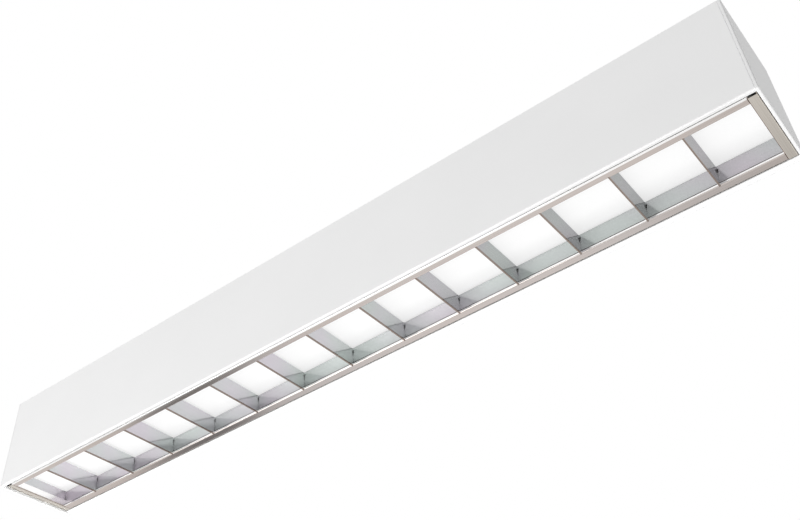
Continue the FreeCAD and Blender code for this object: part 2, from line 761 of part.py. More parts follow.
# Opal diffuser: a trough whose hooks lie on the edges of the tray
def make_diffuser():
    reach = cap_inner - DIFFUSER_END_GAP
    hook_top = tray_top + DIFFUSER_HOOK_THICKNESS
    hook_end = diffuser_inner - DIFFUSER_HOOK
    outer = box(-reach, reach, -diffuser_outer, diffuser_outer, diffuser_bottom, hook_top)
    outer = round_long_edges(outer, DIFFUSER_ROUNDING + DIFFUSER_WALL, diffuser_bottom)
    floor = diffuser_bottom + DIFFUSER_WALL
    hollow = box(-LENGTH, LENGTH, -diffuser_inner, diffuser_inner, floor, tray_top)
    hollow = round_long_edges(hollow, DIFFUSER_ROUNDING, floor)
    mouth = box(-LENGTH, LENGTH, -hook_end, hook_end, floor + DIFFUSER_ROUNDING, hook_top)
    return outer.cut(hollow).cut(mouth)


# Louvre frame
def make_side_rail():
    """Back rail, a channel with slots for the blade ends in its inner lip."""
    start = -end_rail_inner
    lip_top = louver_bottom + SIDE_RAIL_LIP
    wall_top = louver_bottom + SIDE_RAIL_WALL
    lip_face = side_rail_inner + RAIL_SHEET
    wall_face = louver_half - RAIL_SHEET
    outer = [Vector(start, side_rail_inner, lip_top), Vector(start, side_rail_inner, louver_bottom),
             Vector(start, louver_half, louver_bottom), Vector(start, louver_half, wall_top)]
    inner = [Vector(start, lip_face, lip_top), Vector(start, lip_face, rail_floor),
             Vector(start, wall_face, rail_floor), Vector(start, wall_face, wall_top)]
    rail = folded_sheet(outer, inner, RAIL_SHEET, RAIL_BEND_RADIUS, along_x * (2 * end_rail_inner))
    slot_half = blade_half(lip_top) + BLADE_SLOT_CLEARANCE
    slots = []
    for x in blade_places():
        slots.append(box(x - slot_half, x + slot_half, side_rail_inner, reflector_foot,
                         louver_bottom, lip_top))
    return rail.cut(slots)


def make_end_rail():
    """Right end rail, a channel open at both ends, drilled for hinge pin and catch.
    Its front end is notched from below so that the catch can be reached."""
    start = -louver_half
    wall_top = louver_bottom + END_RAIL_WALL
    inner_face = end_rail_inner + RAIL_SHEET
    outer_face = louver_end - RAIL_SHEET
    outer = [Vector(end_rail_inner, start, wall_top), Vector(end_rail_inner, start, louver_bottom),
             Vector(louver_end, start, louver_bottom), Vector(louver_end, start, wall_top)]
    inner = [Vector(inner_face, start, wall_top), Vector(inner_face, start, rail_floor),
             Vector(outer_face, start, rail_floor), Vector(outer_face, start, wall_top)]
    rail = folded_sheet(outer, inner, RAIL_SHEET, RAIL_BEND_RADIUS, along_y * (2 * louver_half))
    for y in (-pivot_y, pivot_y):
        hole = rod(Vector(outer_face, y, pivot_z), along_x, PIN_RADIUS + PIN_CLEARANCE, RAIL_SHEET)
        rail = rail.cut(hole)
    for place in cleat_rivet_places():
        hole = rod(place, along_x, RIVET_RADIUS + RIVET_CLEARANCE, CLEAT_SHEET + RAIL_SHEET)
        rail = rail.cut(hole)
    notch = box(end_rail_inner, louver_end, start, start + END_RAIL_NOTCH, louver_bottom, louver_bottom + rail_seat)
    return rail.cut(notch)


# Reflectors: flat walls that lean in over the cells
def make_side_reflector():
    """Back reflector wall with a flange at its head and a slot for each blade tab."""
    start = Vector(-end_rail_inner, 0, 0)
    run = along_x * (2 * end_rail_inner)
    thick = along_y * REFLECTOR_SHEET
    foot = start + Vector(0, reflector_foot, rail_floor)
    head = start + Vector(0, reflector_head, louver_top)
    wall = straight_prism([foot, head, head + thick, foot + thick], run)
    flange = box(-end_rail_inner, end_rail_inner, reflector_head, reflector_head + REFLECTOR_FLANGE,
                 louver_top - REFLECTOR_SHEET, louver_top)
    sheet = wall.fuse(flange).removeSplitter()
    cuts = [reflector_slot(x) for x in blade_places()]
    for place in flange_rivet_places():
        hole = rod(place - along_z * REFLECTOR_SHEET, along_z, RIVET_RADIUS + RIVET_CLEARANCE, REFLECTOR_SHEET)
        cuts += [hole, mirror_x(hole)]
    return sheet.cut(cuts)


def reflector_slot(x):
    """Slot that follows the flanks of a blade tab and opens wider towards its top."""
    low = blade_tab_low - REFLECTOR_SLOT_MARGIN
    high = blade_tab_high + REFLECTOR_SLOT_MARGIN
    foot = blade_half(low) + REFLECTOR_SLOT_FOOT_CLEARANCE
    head = blade_half(high) + REFLECTOR_SLOT_HEAD_CLEARANCE
    corners = [Vector(x - foot, reflector_head, low), Vector(x + foot, reflector_head, low),
               Vector(x + head, reflector_head, high), Vector(x - head, reflector_head, high)]
    return straight_prism(corners, along_y * (reflector_foot + REFLECTOR_SHEET - reflector_head))


def make_end_reflector():
    """Right end reflector: upright behind the rail's wall, then leaning over the cell."""
    thick = along_x * REFLECTOR_SHEET
    width = along_y * (2 * louver_half)
    base = Vector(end_reflector_foot, -louver_half, rail_floor)
    bend = Vector(end_reflector_foot, -louver_half, end_reflector_bend)
    head = Vector(end_reflector_head, -louver_half, louver_top)
    wall = straight_prism([base, bend, head, head + thick, bend + thick, base + thick], width)
    flange = box(end_reflector_head, end_reflector_head + REFLECTOR_FLANGE, -louver_half, louver_half,
                 louver_top - REFLECTOR_SHEET, louver_top)
    sheet = wall.fuse(flange).common(cell_space()).removeSplitter()
    for place in gusset_rivet_places():
        hole = rod(place - along_z * REFLECTOR_SHEET, along_z, RIVET_RADIUS + RIVET_CLEARANCE, REFLECTOR_SHEET)
        sheet = sheet.cut(hole)
    return sheet


def cell_space():
    """Space between the two side reflectors, less a small clearance, along the whole louvre."""
    start = Vector(-half_length, 0, 0)
    foot = reflector_foot - BLADE_END_CLEARANCE
    head = reflector_head - BLADE_END_CLEARANCE
    back_foot = start + Vector(0, foot, rail_floor)
    back_head = start + Vector(0, head, louver_top)
    front_foot = start + Vector(0, -foot, rail_floor)
    front_head = start + Vector(0, -head, louver_top)
    return straight_prism([back_foot, back_head, front_head, front_foot], along_x * LENGTH)


# Cross blade: a folded V cut to the reflectors, with a tab through each slot
def blade_wedge(bottom_half, top_half, run):
    """Wedge along Y, narrow below and wide above."""
    corners = [Vector(bottom_half, 0, blade_bottom), Vector(top_half, 0, louver_top),
               Vector(-top_half, 0, louver_top), Vector(-bottom_half, 0, blade_bottom)]
    return straight_prism(corners, run)


def make_blade():
    reach = reflector_foot + REFLECTOR_SHEET + BLADE_TAB_LENGTH
    run = along_y * (2 * reach)
    fold = blade_wedge(blade_edge / 2, BLADE_TOP / 2, run)
    hollow = blade_wedge(BLADE_FOLD_GAP / 2, BLADE_TOP / 2 - BLADE_SHEET, run)
    solid_edge = box(-blade_edge, blade_edge, 0, 2 * reach, louver_bottom, blade_bottom + BLADE_FOLD_HEIGHT)
    sheet = fold.cut(hollow.cut(solid_edge))
    sheet.translate(along_y * -reach)
    foot_end = reflector_foot - BLADE_END_CLEARANCE
    foot = box(-BLADE_TOP, BLADE_TOP, -foot_end, foot_end, louver_bottom, rail_floor)
    tabs = box(-BLADE_TOP, BLADE_TOP, -reach, reach, blade_tab_low, blade_tab_high)
    return sheet.common(cell_space().fuse([foot, tabs])).removeSplitter()


# Gussets over the corners of the reflectors, cleats in the corners of the rails
def flange_rivet_places():
    """Rivets through a gusset into the back reflector's flange, right-hand end."""
    x = end_rail_inner - GUSSET_ARM + GUSSET_WIDTH / 2
    y = reflector_head + REFLECTOR_SHEET + GUSSET_WIDTH / 2
    return [Vector(x, y, louver_top)]


def gusset_rivet_places():
    """Rivets through the gussets into the right end reflector's flange."""
    x = end_reflector_head + REFLECTOR_SHEET + GUSSET_WIDTH / 2
    y = reflector_head - GUSSET_WIDTH / 2
    return [Vector(x, -y, louver_top), Vector(x, y, louver_top)]


def make_gusset():
    """Flat angle plate over the back corner of the right-hand end."""
    high = louver_top + GUSSET_THICKNESS
    x_inner = end_reflector_head + REFLECTOR_SHEET
    y_inner = reflector_head + REFLECTOR_SHEET
    long_arm = box(end_rail_inner - GUSSET_ARM, x_inner + GUSSET_WIDTH, y_inner, y_inner + GUSSET_WIDTH,
                   louver_top, high)
    short_arm = box(x_inner, x_inner + GUSSET_WIDTH, reflector_head - GUSSET_WIDTH, y_inner, louver_top, high)
    plate = long_arm.fuse(short_arm).removeSplitter()
    for place in flange_rivet_places() + gusset_rivet_places()[1:]:
        plate = plate.cut(rod(place, along_z, RIVET_RADIUS + RIVET_CLEARANCE, GUSSET_THICKNESS))
    return plate


def cleat_inner():
    return reflector_foot + REFLECTOR_SHEET + CLEAT_CLEARANCE


def cleat_rivet_places():
    """Rivets through cleat and end rail, seated on the cleat, right-hand end."""
    y = cleat_inner() + RIVET_HEAD_RADIUS
    z = rail_floor + CLEAT_HEIGHT / 2
    x = end_rail_inner - CLEAT_SHEET
    return [Vector(x, -y, z), Vector(x, y, z)]


def make_cleat():
    """Angle piece in the back right corner: one leg on the side rail, one on the end rail."""
    outer = louver_half - rail_seat - CLEAT_CLEARANCE
    leg = box(end_rail_inner - CLEAT_LENGTH, end_rail_inner, cleat_inner(), outer,
              rail_floor, rail_floor + CLEAT_SHEET)
    upright = box(end_rail_inner - CLEAT_SHEET, end_rail_inner, cleat_inner(), outer,
                  rail_floor, rail_floor + CLEAT_HEIGHT)
    hole = rod(cleat_rivet_places()[1], along_x, RIVET_RADIUS + RIVET_CLEARANCE, CLEAT_SHEET)
    return leg.fuse(upright).removeSplitter().cut(hole)


def four_corners(shape):
    """One piece in each corner of the louvre."""
    pair = [shape, mirror_y(shape)]
    return pair + [mirror_x(piece) for piece in pair]


def make_rivets():
    gusset_grip = GUSSET_THICKNESS + REFLECTOR_SHEET
    top = along_z * GUSSET_THICKNESS
    rivets = []
    for place in (flange_rivet_places()[0], gusset_rivet_places()[1]):
        rivets += four_corners(rivet(place + top, -along_z, gusset_grip))
    rivets += four_corners(rivet(cleat_rivet_places()[1], along_x, CLEAT_SHEET + RAIL_SHEET))
    return Part.makeCompound(rivets)


# Hinge pin and slide catch of the right end rail
def make_hinge_pin():
    seat = Vector(louver_end - RAIL_SHEET, pivot_y, pivot_z)
    length = RAIL_SHEET + LOUVER_END_GAP + PIN_BITE
    return headed_pin(seat, along_x, PIN_HEAD_RADIUS, PIN_HEAD_HEIGHT, PIN_RADIUS, length)


def make_catch_block():
    start = end_rail_inner + rail_seat
    block = box(start, start + CATCH_BLOCK_LENGTH, -pivot_y - CATCH_BLOCK_HALF_WIDTH,
                -pivot_y + CATCH_BLOCK_HALF_WIDTH, rail_floor, rail_floor + CATCH_BLOCK_HEIGHT)
    bore = rod(Vector(start, -pivot_y, pivot_z), along_x, PIN_RADIUS + PIN_CLEARANCE, CATCH_BLOCK_LENGTH)
    return block.cut(bore)


def make_catch_bolt():
    """Bolt drawn back into the rail, with a thumb tab at the rail's open end."""
    start = end_rail_inner + rail_seat + CATCH_TIP_SETBACK
    end = louver_end - CATCH_TIP_SETBACK
    shank = rod(Vector(start, -pivot_y, pivot_z), along_x, PIN_RADIUS, end - start)
    tab_start = end_rail_inner + rail_seat + CATCH_BLOCK_LENGTH + CATCH_TAB_GAP
    tab_half = CATCH_TAB_HEIGHT / 2
    tab = box(tab_start, tab_start + CATCH_TAB_THICKNESS, -louver_half - CATCH_TAB_REACH, -pivot_y,
              pivot_z - tab_half, pivot_z + tab_half)
    return shank.fuse(tab).removeSplitter()


def save_fixed_pieces():
    save("housing_channel", make_housing())
    save_pair("end_cap", make_end_cap())
    save("end_cap_screws", make_cap_screws())
    save_pair("end_bracket", make_end_bracket())
    save_pair("stiffener_plate", make_stiffener(ceiling_hole_x))
    save("cable_bushing", make_cable_bushing())
    save("gear_tray", make_tray())
    save("tray_screws", make_tray_screws())
    save("tray_bushing", make_tray_bushing())
    save_pair("led_board", make_board())
    save_pair("led_packages", make_led_packages())
    save("board_screws", make_board_screws())
    save("board_link", make_board_link())
    save("led_connector", make_led_connector())
    save("driver", make_driver())
    save("driver_screws", make_driver_screws())
    save("terminal_block", make_terminal_block())
    save("earth_stud", make_earth_stud())
    save("earth_nut", make_earth_nut())
    save("earth_lead", make_earth_lead())
    save("mains_leads", make_mains_leads())
    save("led_leads", make_led_leads())
    save("diffuser", make_diffuser())


def save_louver_pieces():
    side_rail = make_side_rail()
    side_reflector = make_side_reflector()
    save("side_rail_back", side_rail)
    save("side_rail_front", mirror_y(side_rail))
    save("side_reflector_back", side_reflector)
    save("side_reflector_front", mirror_y(side_reflector))
    save_pair("end_rail", make_end_rail())
    save_pair("end_reflector", make_end_reflector())
    blade = make_blade()
    for number, x in enumerate(blade_places(), 1):
        save("cross_blade_%02d" % number, blade.translated(along_x * x))
    save("corner_gussets", Part.makeCompound(four_corners(make_gusset())))
    save("rail_cleats", Part.makeCompound(four_corners(make_cleat())))
    save("louver_rivets", make_rivets())
    save_pair("hinge_pin", make_hinge_pin())
    save_pair("catch_block", make_catch_block())
    save_pair("catch_bolt", make_catch_bolt())


os.makedirs("parts", exist_ok=True)
save_fixed_pieces()
save_louver_pieces()
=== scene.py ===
import math

import bmesh
import bpy
from mathutils import Matrix, Vector


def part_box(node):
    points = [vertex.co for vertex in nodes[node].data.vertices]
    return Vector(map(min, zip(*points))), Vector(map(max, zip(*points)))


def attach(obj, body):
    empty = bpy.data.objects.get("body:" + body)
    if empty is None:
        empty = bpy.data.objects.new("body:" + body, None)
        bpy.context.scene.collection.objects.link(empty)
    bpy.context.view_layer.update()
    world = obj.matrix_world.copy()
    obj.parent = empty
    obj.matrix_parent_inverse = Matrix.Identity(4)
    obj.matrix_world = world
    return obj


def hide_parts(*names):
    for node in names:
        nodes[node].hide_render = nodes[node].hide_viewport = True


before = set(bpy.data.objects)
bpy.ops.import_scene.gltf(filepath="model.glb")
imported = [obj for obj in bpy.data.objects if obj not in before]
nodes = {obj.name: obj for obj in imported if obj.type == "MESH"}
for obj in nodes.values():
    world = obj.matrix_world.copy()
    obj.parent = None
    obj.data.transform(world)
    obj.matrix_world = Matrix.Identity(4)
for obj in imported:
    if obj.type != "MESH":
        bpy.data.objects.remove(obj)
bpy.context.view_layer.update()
scene = bpy.context.scene
scene.view_settings.view_transform = "Standard"


# Studio: a white surround, a pale floor far below the ceiling light, large soft lamps and a small one for one end.
# The surround is white to the eye and in reflections, and lights the object more gently, least from the right.
# A few far places are dark in reflections only, so that the metal bands have something to mirror.
SURROUND_LIGHT = 0.62
SURROUND_FALL = 0.24
LEFT_CORNER = Vector((-0.648, 0.560, -0.516)).normalized()
RIGHT_CORNER = Vector((-0.06, 0.83, -0.555)).normalized()
DARK_PLACES = [  # where, edge and core in degrees, what is left of the light in the core
    (LEFT_CORNER, 4.6, 2.0, 0.07),
    (LEFT_CORNER, 12.0, 4.0, 0.84),
    (RIGHT_CORNER, 14.5, 3.0, 0.64),
]
FLOOR_HEIGHT = -3.3
FLOOR_HALF = 2.5
FLOOR_LIFT = 0.35
FLOOR_PALE = (0.86, 0.86, 0.86, 1.0)
FLOOR_ROUGHNESS = 0.9
PURE_WHITE = (1.0, 1.0, 1.0, 1.0)


def put(tree, kind, sockets=None, **settings):
    """One node: its settings, then its inputs, each a value or another node's output."""
    node = tree.nodes.new(kind)
    for name, value in settings.items():
        setattr(node, name, value)
    for name, value in (sockets or {}).items():
        if isinstance(value, bpy.types.NodeSocket):
            tree.links.new(value, node.inputs[name])
        else:
            node.inputs[name].default_value = value
    return node


def work(tree, operation, first, second=0.0):
    """Result of one sum in a tree."""
    return put(tree, "ShaderNodeMath", {0: first, 1: second}, operation=operation).outputs[0]


def seen_directly(tree, path):
    """1 for rays from the eye, from a reflection or through glass, and 0 for light that falls on things."""
    through = work(tree, "MAXIMUM", path.outputs["Is Glossy Ray"], path.outputs["Is Transmission Ray"])
    return work(tree, "MAXIMUM", path.outputs["Is Camera Ray"], through)


surround = bpy.data.worlds.new("white_surround")
scene.world = surround
surround.use_nodes = True
sky = surround.node_tree
sky.nodes.clear()
sky_path = put(sky, "ShaderNodeLightPath")
way = put(sky, "ShaderNodeTexCoord")
mirrored_tone = 1.0
for place, edge, core, level in DARK_PLACES:
    facing = put(sky, "ShaderNodeVectorMath", {0: way.outputs["Generated"], 1: place}, operation="DOT_PRODUCT")
    dark = put(sky, "ShaderNodeMapRange", {"Value": facing.outputs["Value"], "From Min": math.cos(math.radians(edge)),
                                           "From Max": math.cos(math.radians(core)), "To Min": 1.0,
                                           "To Max": level}, interpolation_type="SMOOTHSTEP")
    mirrored_tone = work(sky, "MULTIPLY", dark.outputs[0], mirrored_tone)
sky_tone = put(sky, "ShaderNodeMapRange", {"Value": sky_path.outputs["Is Glossy Ray"], "To Min": 1.0,
                                           "To Max": mirrored_tone})
sky_white = put(sky, "ShaderNodeBackground", {"Color": sky_tone.outputs[0], "Strength": 1.0})
to_right = put(sky, "ShaderNodeSeparateXYZ", {0: way.outputs["Generated"]})
sky_level = put(sky, "ShaderNodeMapRange", {"Value": to_right.outputs[0], "From Min": -1.0,
                                            "To Min": SURROUND_LIGHT + SURROUND_FALL,
                                            "To Max": SURROUND_LIGHT - SURROUND_FALL})
sky_soft = put(sky, "ShaderNodeBackground", {"Color": PURE_WHITE, "Strength": sky_level.outputs[0]})
sky_mix = put(sky, "ShaderNodeMixShader", {0: seen_directly(sky, sky_path), 1: sky_soft.outputs[0],
                                           2: sky_white.outputs[0]})
put(sky, "ShaderNodeOutputWorld", {"Surface": sky_mix.outputs[0]})

floor_mesh = bpy.data.meshes.new("studio_floor")
floor_mesh.from_pydata([(-FLOOR_HALF, -FLOOR_HALF, FLOOR_HEIGHT), (FLOOR_HALF, -FLOOR_HALF, FLOOR_HEIGHT),
                        (FLOOR_HALF, FLOOR_HALF, FLOOR_HEIGHT), (-FLOOR_HALF, FLOOR_HALF, FLOOR_HEIGHT)],
                       [], [(0, 1, 2, 3)])
floor = bpy.data.objects.new("studio_floor", floor_mesh)
scene.collection.objects.link(floor)
pale_floor = bpy.data.materials.new("pale_floor")
pale_floor.use_nodes = True
floor_tree = pale_floor.node_tree
floor_shader = floor_tree.nodes["Principled BSDF"]
floor_shader.inputs["Base Color"].default_value = FLOOR_PALE
floor_shader.inputs["Roughness"].default_value = FLOOR_ROUGHNESS
floor_shader.inputs["Emission Color"].default_value = PURE_WHITE
floor_seen = seen_directly(floor_tree, put(floor_tree, "ShaderNodeLightPath"))
floor_tree.links.new(work(floor_tree, "MULTIPLY", floor_seen, FLOOR_LIFT), floor_shader.inputs["Emission Strength"])
floor_mesh.materials.append(pale_floor)


def soft_lamp(name, place, target, width, watts, mirrored, spread=180.0):
    """Square area lamp at a place, turned to its target; it may show in mirroring metal, or have a narrow beam."""
    light = bpy.data.lights.new(name, "AREA")
    light.shape = "SQUARE"
    light.size = width
    light.energy = watts
    light.spread = math.radians(spread)
    lamp = bpy.data.objects.new(name, light)
    lamp.location = place
    lamp.rotation_mode = "QUATERNION"
    lamp.rotation_quaternion = (Vector(target) - Vector(place)).to_track_quat("-Z", "Y")
    lamp.visible_glossy = mirrored
    scene.collection.objects.link(lamp)


LIGHT_MIDDLE = (0.0, 0.0, -0.1)
BACK_LOWER_EDGE = (0.3, 0.06, -0.14)
LEFT_CAP_EDGE = (-0.597, 0.0, -0.1435)
soft_lamp("lamp_front_left", (-1.5, -2.2, -1.6), LIGHT_MIDDLE, width=1.8, watts=32.0, mirrored=True)
soft_lamp("lamp_below", (-0.6, -0.6, -2.6), LIGHT_MIDDLE, width=2.0, watts=22.0, mirrored=False)
soft_lamp("lamp_below_back", (0.35, 0.9, -2.0), BACK_LOWER_EDGE, width=1.6, watts=10.0, mirrored=False)
soft_lamp("lamp_left_cap", (0.3, 0.35, -0.9), LEFT_CAP_EDGE, width=0.2, watts=0.07, mirrored=False, spread=14.0)

# Camera: the photograph's view, from below and in front of the right-hand end.
CAMERA_PLACE = Vector((0.6813, -0.7910, -0.8702))
CAMERA_FORWARD = Vector((-0.4449, 0.5985, 0.6662)).normalized()
CAMERA_RIGHT = Vector((0.7816, 0.6226, -0.0374)).normalized()
PHOTO_WIDTH = 800.0
PHOTO_HEIGHT = 520.0
FOCAL_PIXELS = 991.4
CENTRE_PIXEL = (382.8, 229.9)
camera_data = bpy.data.cameras.new("photo_camera")
camera_data.sensor_width = 36.0
camera_data.lens = FOCAL_PIXELS / PHOTO_WIDTH * camera_data.sensor_width
camera_data.shift_x = (PHOTO_WIDTH / 2 - CENTRE_PIXEL[0]) / PHOTO_WIDTH
camera_data.shift_y = (CENTRE_PIXEL[1] - PHOTO_HEIGHT / 2) / PHOTO_WIDTH
camera_data.clip_start = 0.01
camera = bpy.data.objects.new("photo_camera", camera_data)
camera_up = CAMERA_RIGHT.cross(CAMERA_FORWARD)
camera_turn = Matrix((CAMERA_RIGHT, camera_up, -CAMERA_FORWARD)).transposed()
camera.matrix_world = Matrix.Translation(CAMERA_PLACE) @ camera_turn.to_4x4()
scene.collection.objects.link(camera)
scene.camera = camera


# Housing: one folded steel sheet, open below, with narrow hems turned in along the lower edges.
# It is powder coated white, so it has a faint orange-peel surface and a soft satin sheen.
PAINT_WHITE = (0.90, 0.90, 0.90, 1.0)
PAINT_ROUGHNESS = 0.42
PAINT_PEEL = 420.0
CLOUDS_PER_METRE = 7.0
NOISE_LOW = 0.3
NOISE_HIGH = 0.7
PEEL_STRENGTH = 0.35
COAT_GLOSS_SPREAD = 0.06


def new_group(name, inputs, outputs):
    """Empty shader group with named inputs and outputs."""
    group = bpy.data.node_groups.new(name, "ShaderNodeTree")
    for label, kind in inputs:
        group.interface.new_socket(label, in_out="INPUT", socket_type=kind)
    for label, kind in outputs:
        group.interface.new_socket(label, in_out="OUTPUT", socket_type=kind)
    return group, group.nodes.new("NodeGroupInput"), group.nodes.new("NodeGroupOutput")


def make_coat_group():
    """Painted or moulded surface: a slow drift of tone and a fine peel."""
    group, given, result = new_group(
        "coat_surface",
        [("Colour", "NodeSocketColor"), ("Peel Per Metre", "NodeSocketFloat"), ("Drift", "NodeSocketFloat")],
        [("Colour", "NodeSocketColor"), ("Peel", "NodeSocketFloat"), ("Cloud", "NodeSocketFloat")])
    place = put(group, "ShaderNodeTexCoord")
    cloud = put(group, "ShaderNodeTexNoise", {"Vector": place.outputs["Object"], "Scale": CLOUDS_PER_METRE,
                                              "Detail": 3.0})
    peel = put(group, "ShaderNodeTexNoise", {"Vector": place.outputs["Object"],
                                             "Scale": given.outputs["Peel Per Metre"], "Detail": 2.0})
    low = work(group, "SUBTRACT", 1.0, given.outputs["Drift"])
    high = work(group, "ADD", 1.0, given.outputs["Drift"])
    tone = put(group, "ShaderNodeMapRange", {"Value": cloud.outputs["Fac"], "From Min": NOISE_LOW,
                                             "From Max": NOISE_HIGH, "To Min": low, "To Max": high})
    shade = put(group, "ShaderNodeVectorMath", {0: given.outputs["Colour"], "Scale": tone.outputs[0]},
                operation="SCALE")
    group.links.new(shade.outputs[0], result.inputs["Colour"])
    group.links.new(peel.outputs["Fac"], result.inputs["Peel"])
    group.links.new(cloud.outputs["Fac"], result.inputs["Cloud"])
    return group


coat_group = make_coat_group()


def coat(name, colour, roughness, peel_per_metre=PAINT_PEEL, drift=0.012, depth=0.00002):
    """Material with the coat surface: colour, roughness about a middle value, and peel as bump."""
    material = bpy.data.materials.new(name)
    material.use_nodes = True
    tree = material.node_tree
    shader = tree.nodes["Principled BSDF"]
    surface = put(tree, "ShaderNodeGroup", node_tree=coat_group)
    surface.inputs["Colour"].default_value = colour
    surface.inputs["Peel Per Metre"].default_value = peel_per_metre
    surface.inputs["Drift"].default_value = drift
    gloss = put(tree, "ShaderNodeMapRange", {"Value": surface.outputs["Cloud"],
                                             "To Min": roughness - COAT_GLOSS_SPREAD,
                                             "To Max": roughness + COAT_GLOSS_SPREAD})
    bump = put(tree, "ShaderNodeBump", {"Height": surface.outputs["Peel"], "Strength": PEEL_STRENGTH,
                                        "Distance": depth})
    tree.links.new(surface.outputs["Colour"], shader.inputs["Base Color"])
    tree.links.new(gloss.outputs[0], shader.inputs["Roughness"])
    tree.links.new(bump.outputs[0], shader.inputs["Normal"])
    return material


def dress(material, *names):
    """Gives the named pieces their finish."""
    for name in names:
        nodes[name].data.materials.clear()
        nodes[name].data.materials.append(material)


dress(coat("white_powder_coat", PAINT_WHITE, PAINT_ROUGHNESS), "housing_channel")


# End caps: moulded white plates with rounded edges and a rim that slips into the housing.
# Each is drawn against the housing's end by two screws from inside.
CAP_WHITE = (0.88, 0.88, 0.88, 1.0)
dress(coat("moulded_white_cap", CAP_WHITE, 0.40, peel_per_metre=900.0, depth=0.00001),
      "end_cap_left", "end_cap_right")


# Brackets and stiffening plates: zinc-plated sheet, folded or flat, with the grey cloudy zinc bloom.
# The plates back the ceiling holes; the brackets hang the gear tray and hold the caps.
ZINC_GREY = (0.50, 0.51, 0.53, 1.0)
ZINC_PALE = (0.66, 0.67, 0.69, 1.0)
TINT_LOW = 0.35
TINT_HIGH = 0.65
STREAK_STRENGTH = 0.25
METAL_GLOSS_SPREAD = 0.07


def make_rolled_group():
    """Rolled metal: streaks along the rolling direction over a slow change between two tints."""
    group, given, result = new_group(
        "rolled_metal",
        [("Metal", "NodeSocketColor"), ("Second Tint", "NodeSocketColor"), ("Streaks Per Metre", "NodeSocketVector"),
         ("Tints Per Metre", "NodeSocketFloat"), ("Streak Depth", "NodeSocketFloat")],
        [("Colour", "NodeSocketColor"), ("Streak", "NodeSocketFloat")])
    place = put(group, "ShaderNodeTexCoord")
    stretched = put(group, "ShaderNodeVectorMath", {0: place.outputs["Object"],
                                                    1: given.outputs["Streaks Per Metre"]}, operation="MULTIPLY")
    streak = put(group, "ShaderNodeTexNoise", {"Vector": stretched.outputs[0], "Scale": 1.0, "Detail": 4.0,
                                               "Roughness": 0.6})
    slow = put(group, "ShaderNodeTexNoise", {"Vector": place.outputs["Object"],
                                             "Scale": given.outputs["Tints Per Metre"], "Detail": 1.0})
    share = put(group, "ShaderNodeMapRange", {"Value": slow.outputs["Fac"], "From Min": TINT_LOW,
                                              "From Max": TINT_HIGH})
    tint = put(group, "ShaderNodeMix", {"Factor": share.outputs[0], 6: given.outputs["Metal"],
                                        7: given.outputs["Second Tint"]}, data_type="RGBA")
    low = work(group, "SUBTRACT", 1.0, given.outputs["Streak Depth"])
    high = work(group, "ADD", 1.0, given.outputs["Streak Depth"])
    tone = put(group, "ShaderNodeMapRange", {"Value": streak.outputs["Fac"], "From Min": NOISE_LOW,
                                             "From Max": NOISE_HIGH, "To Min": low, "To Max": high})
    shade = put(group, "ShaderNodeVectorMath", {0: tint.outputs[2], "Scale": tone.outputs[0]}, operation="SCALE")
    group.links.new(shade.outputs[0], result.inputs["Colour"])
    group.links.new(streak.outputs["Fac"], result.inputs["Streak"])
    return group


rolled_group = make_rolled_group()


def rolled(name, metal, second_tint, streaks, roughness, tints=4.0, streak_depth=0.06, metallic=1.0,
           depth=0.00001):
    """Metal with rolling streaks in its colour, roughness and bump."""
    material = bpy.data.materials.new(name)
    material.use_nodes = True
    tree = material.node_tree
    shader = tree.nodes["Principled BSDF"]
    shader.inputs["Metallic"].default_value = metallic
    surface = put(tree, "ShaderNodeGroup", node_tree=rolled_group)
    surface.inputs["Metal"].default_value = metal
    surface.inputs["Second Tint"].default_value = second_tint
    surface.inputs["Streaks Per Metre"].default_value = streaks
    surface.inputs["Tints Per Metre"].default_value = tints
    surface.inputs["Streak Depth"].default_value = streak_depth
    gloss = put(tree, "ShaderNodeMapRange", {"Value": surface.outputs["Streak"],
                                             "To Min": roughness - METAL_GLOSS_SPREAD,
                                             "To Max": roughness + METAL_GLOSS_SPREAD})
    bump = put(tree, "ShaderNodeBump", {"Height": surface.outputs["Streak"], "Strength": STREAK_STRENGTH,
                                        "Distance": depth})
    tree.links.new(surface.outputs["Colour"], shader.inputs["Base Color"])
    tree.links.new(gloss.outputs[0], shader.inputs["Roughness"])
    tree.links.new(bump.outputs[0], shader.inputs["Normal"])
    return material


dress(rolled("zinc_plate", ZINC_GREY, ZINC_PALE, (90.0, 90.0, 90.0), 0.42, tints=60.0, streak_depth=0.10),
      "end_bracket_left", "end_bracket_right", "stiffener_plate_left", "stiffener_plate_right")


# Bushings: soft black rubber rings, one for the supply cable in the top, one for the LED leads in the tray.
# They snap into their holes by a flange.
RUBBER_BLACK = (0.022, 0.022, 0.023, 1.0)
dress(coat("black_rubber", RUBBER_BLACK, 0.72, peel_per_metre=1500.0, drift=0.15), "cable_bushing", "tray_bushing")


# Gear tray: white-painted steel sheet with its long edges turned down, screwed to the two brackets.
# Its glossy underside also throws the light of the boards down to the diffuser.
TRAY_WHITE = (0.90, 0.90, 0.89, 1.0)
dress(coat("white_tray_paint", TRAY_WHITE, 0.30, peel_per_metre=300.0), "gear_tray")


# LED boards: white solder mask on thin board, in two lengths that meet at a plug-in link.
# A row of small square LED packages runs along the middle; each has a yellow phosphor window.
BOARD_WHITE = (0.84, 0.86, 0.84, 1.0)
FRAME_WHITE = (0.87, 0.87, 0.85, 1.0)
PHOSPHOR_YELLOW = (0.86, 0.60, 0.10, 1.0)
CONNECTOR_WHITE = (0.80, 0.80, 0.77, 1.0)
LED_PITCH = 0.022
LED_SIZE = 0.005
LED_FRAME_HEIGHT = 0.0006
WINDOW_RADIUS = 0.0019
WINDOW_HEIGHT = 0.0002
WINDOW_CROWN = 0.7
WINDOW_SIDES = 16
SMOOTH_UP_TO = math.radians(35.0)


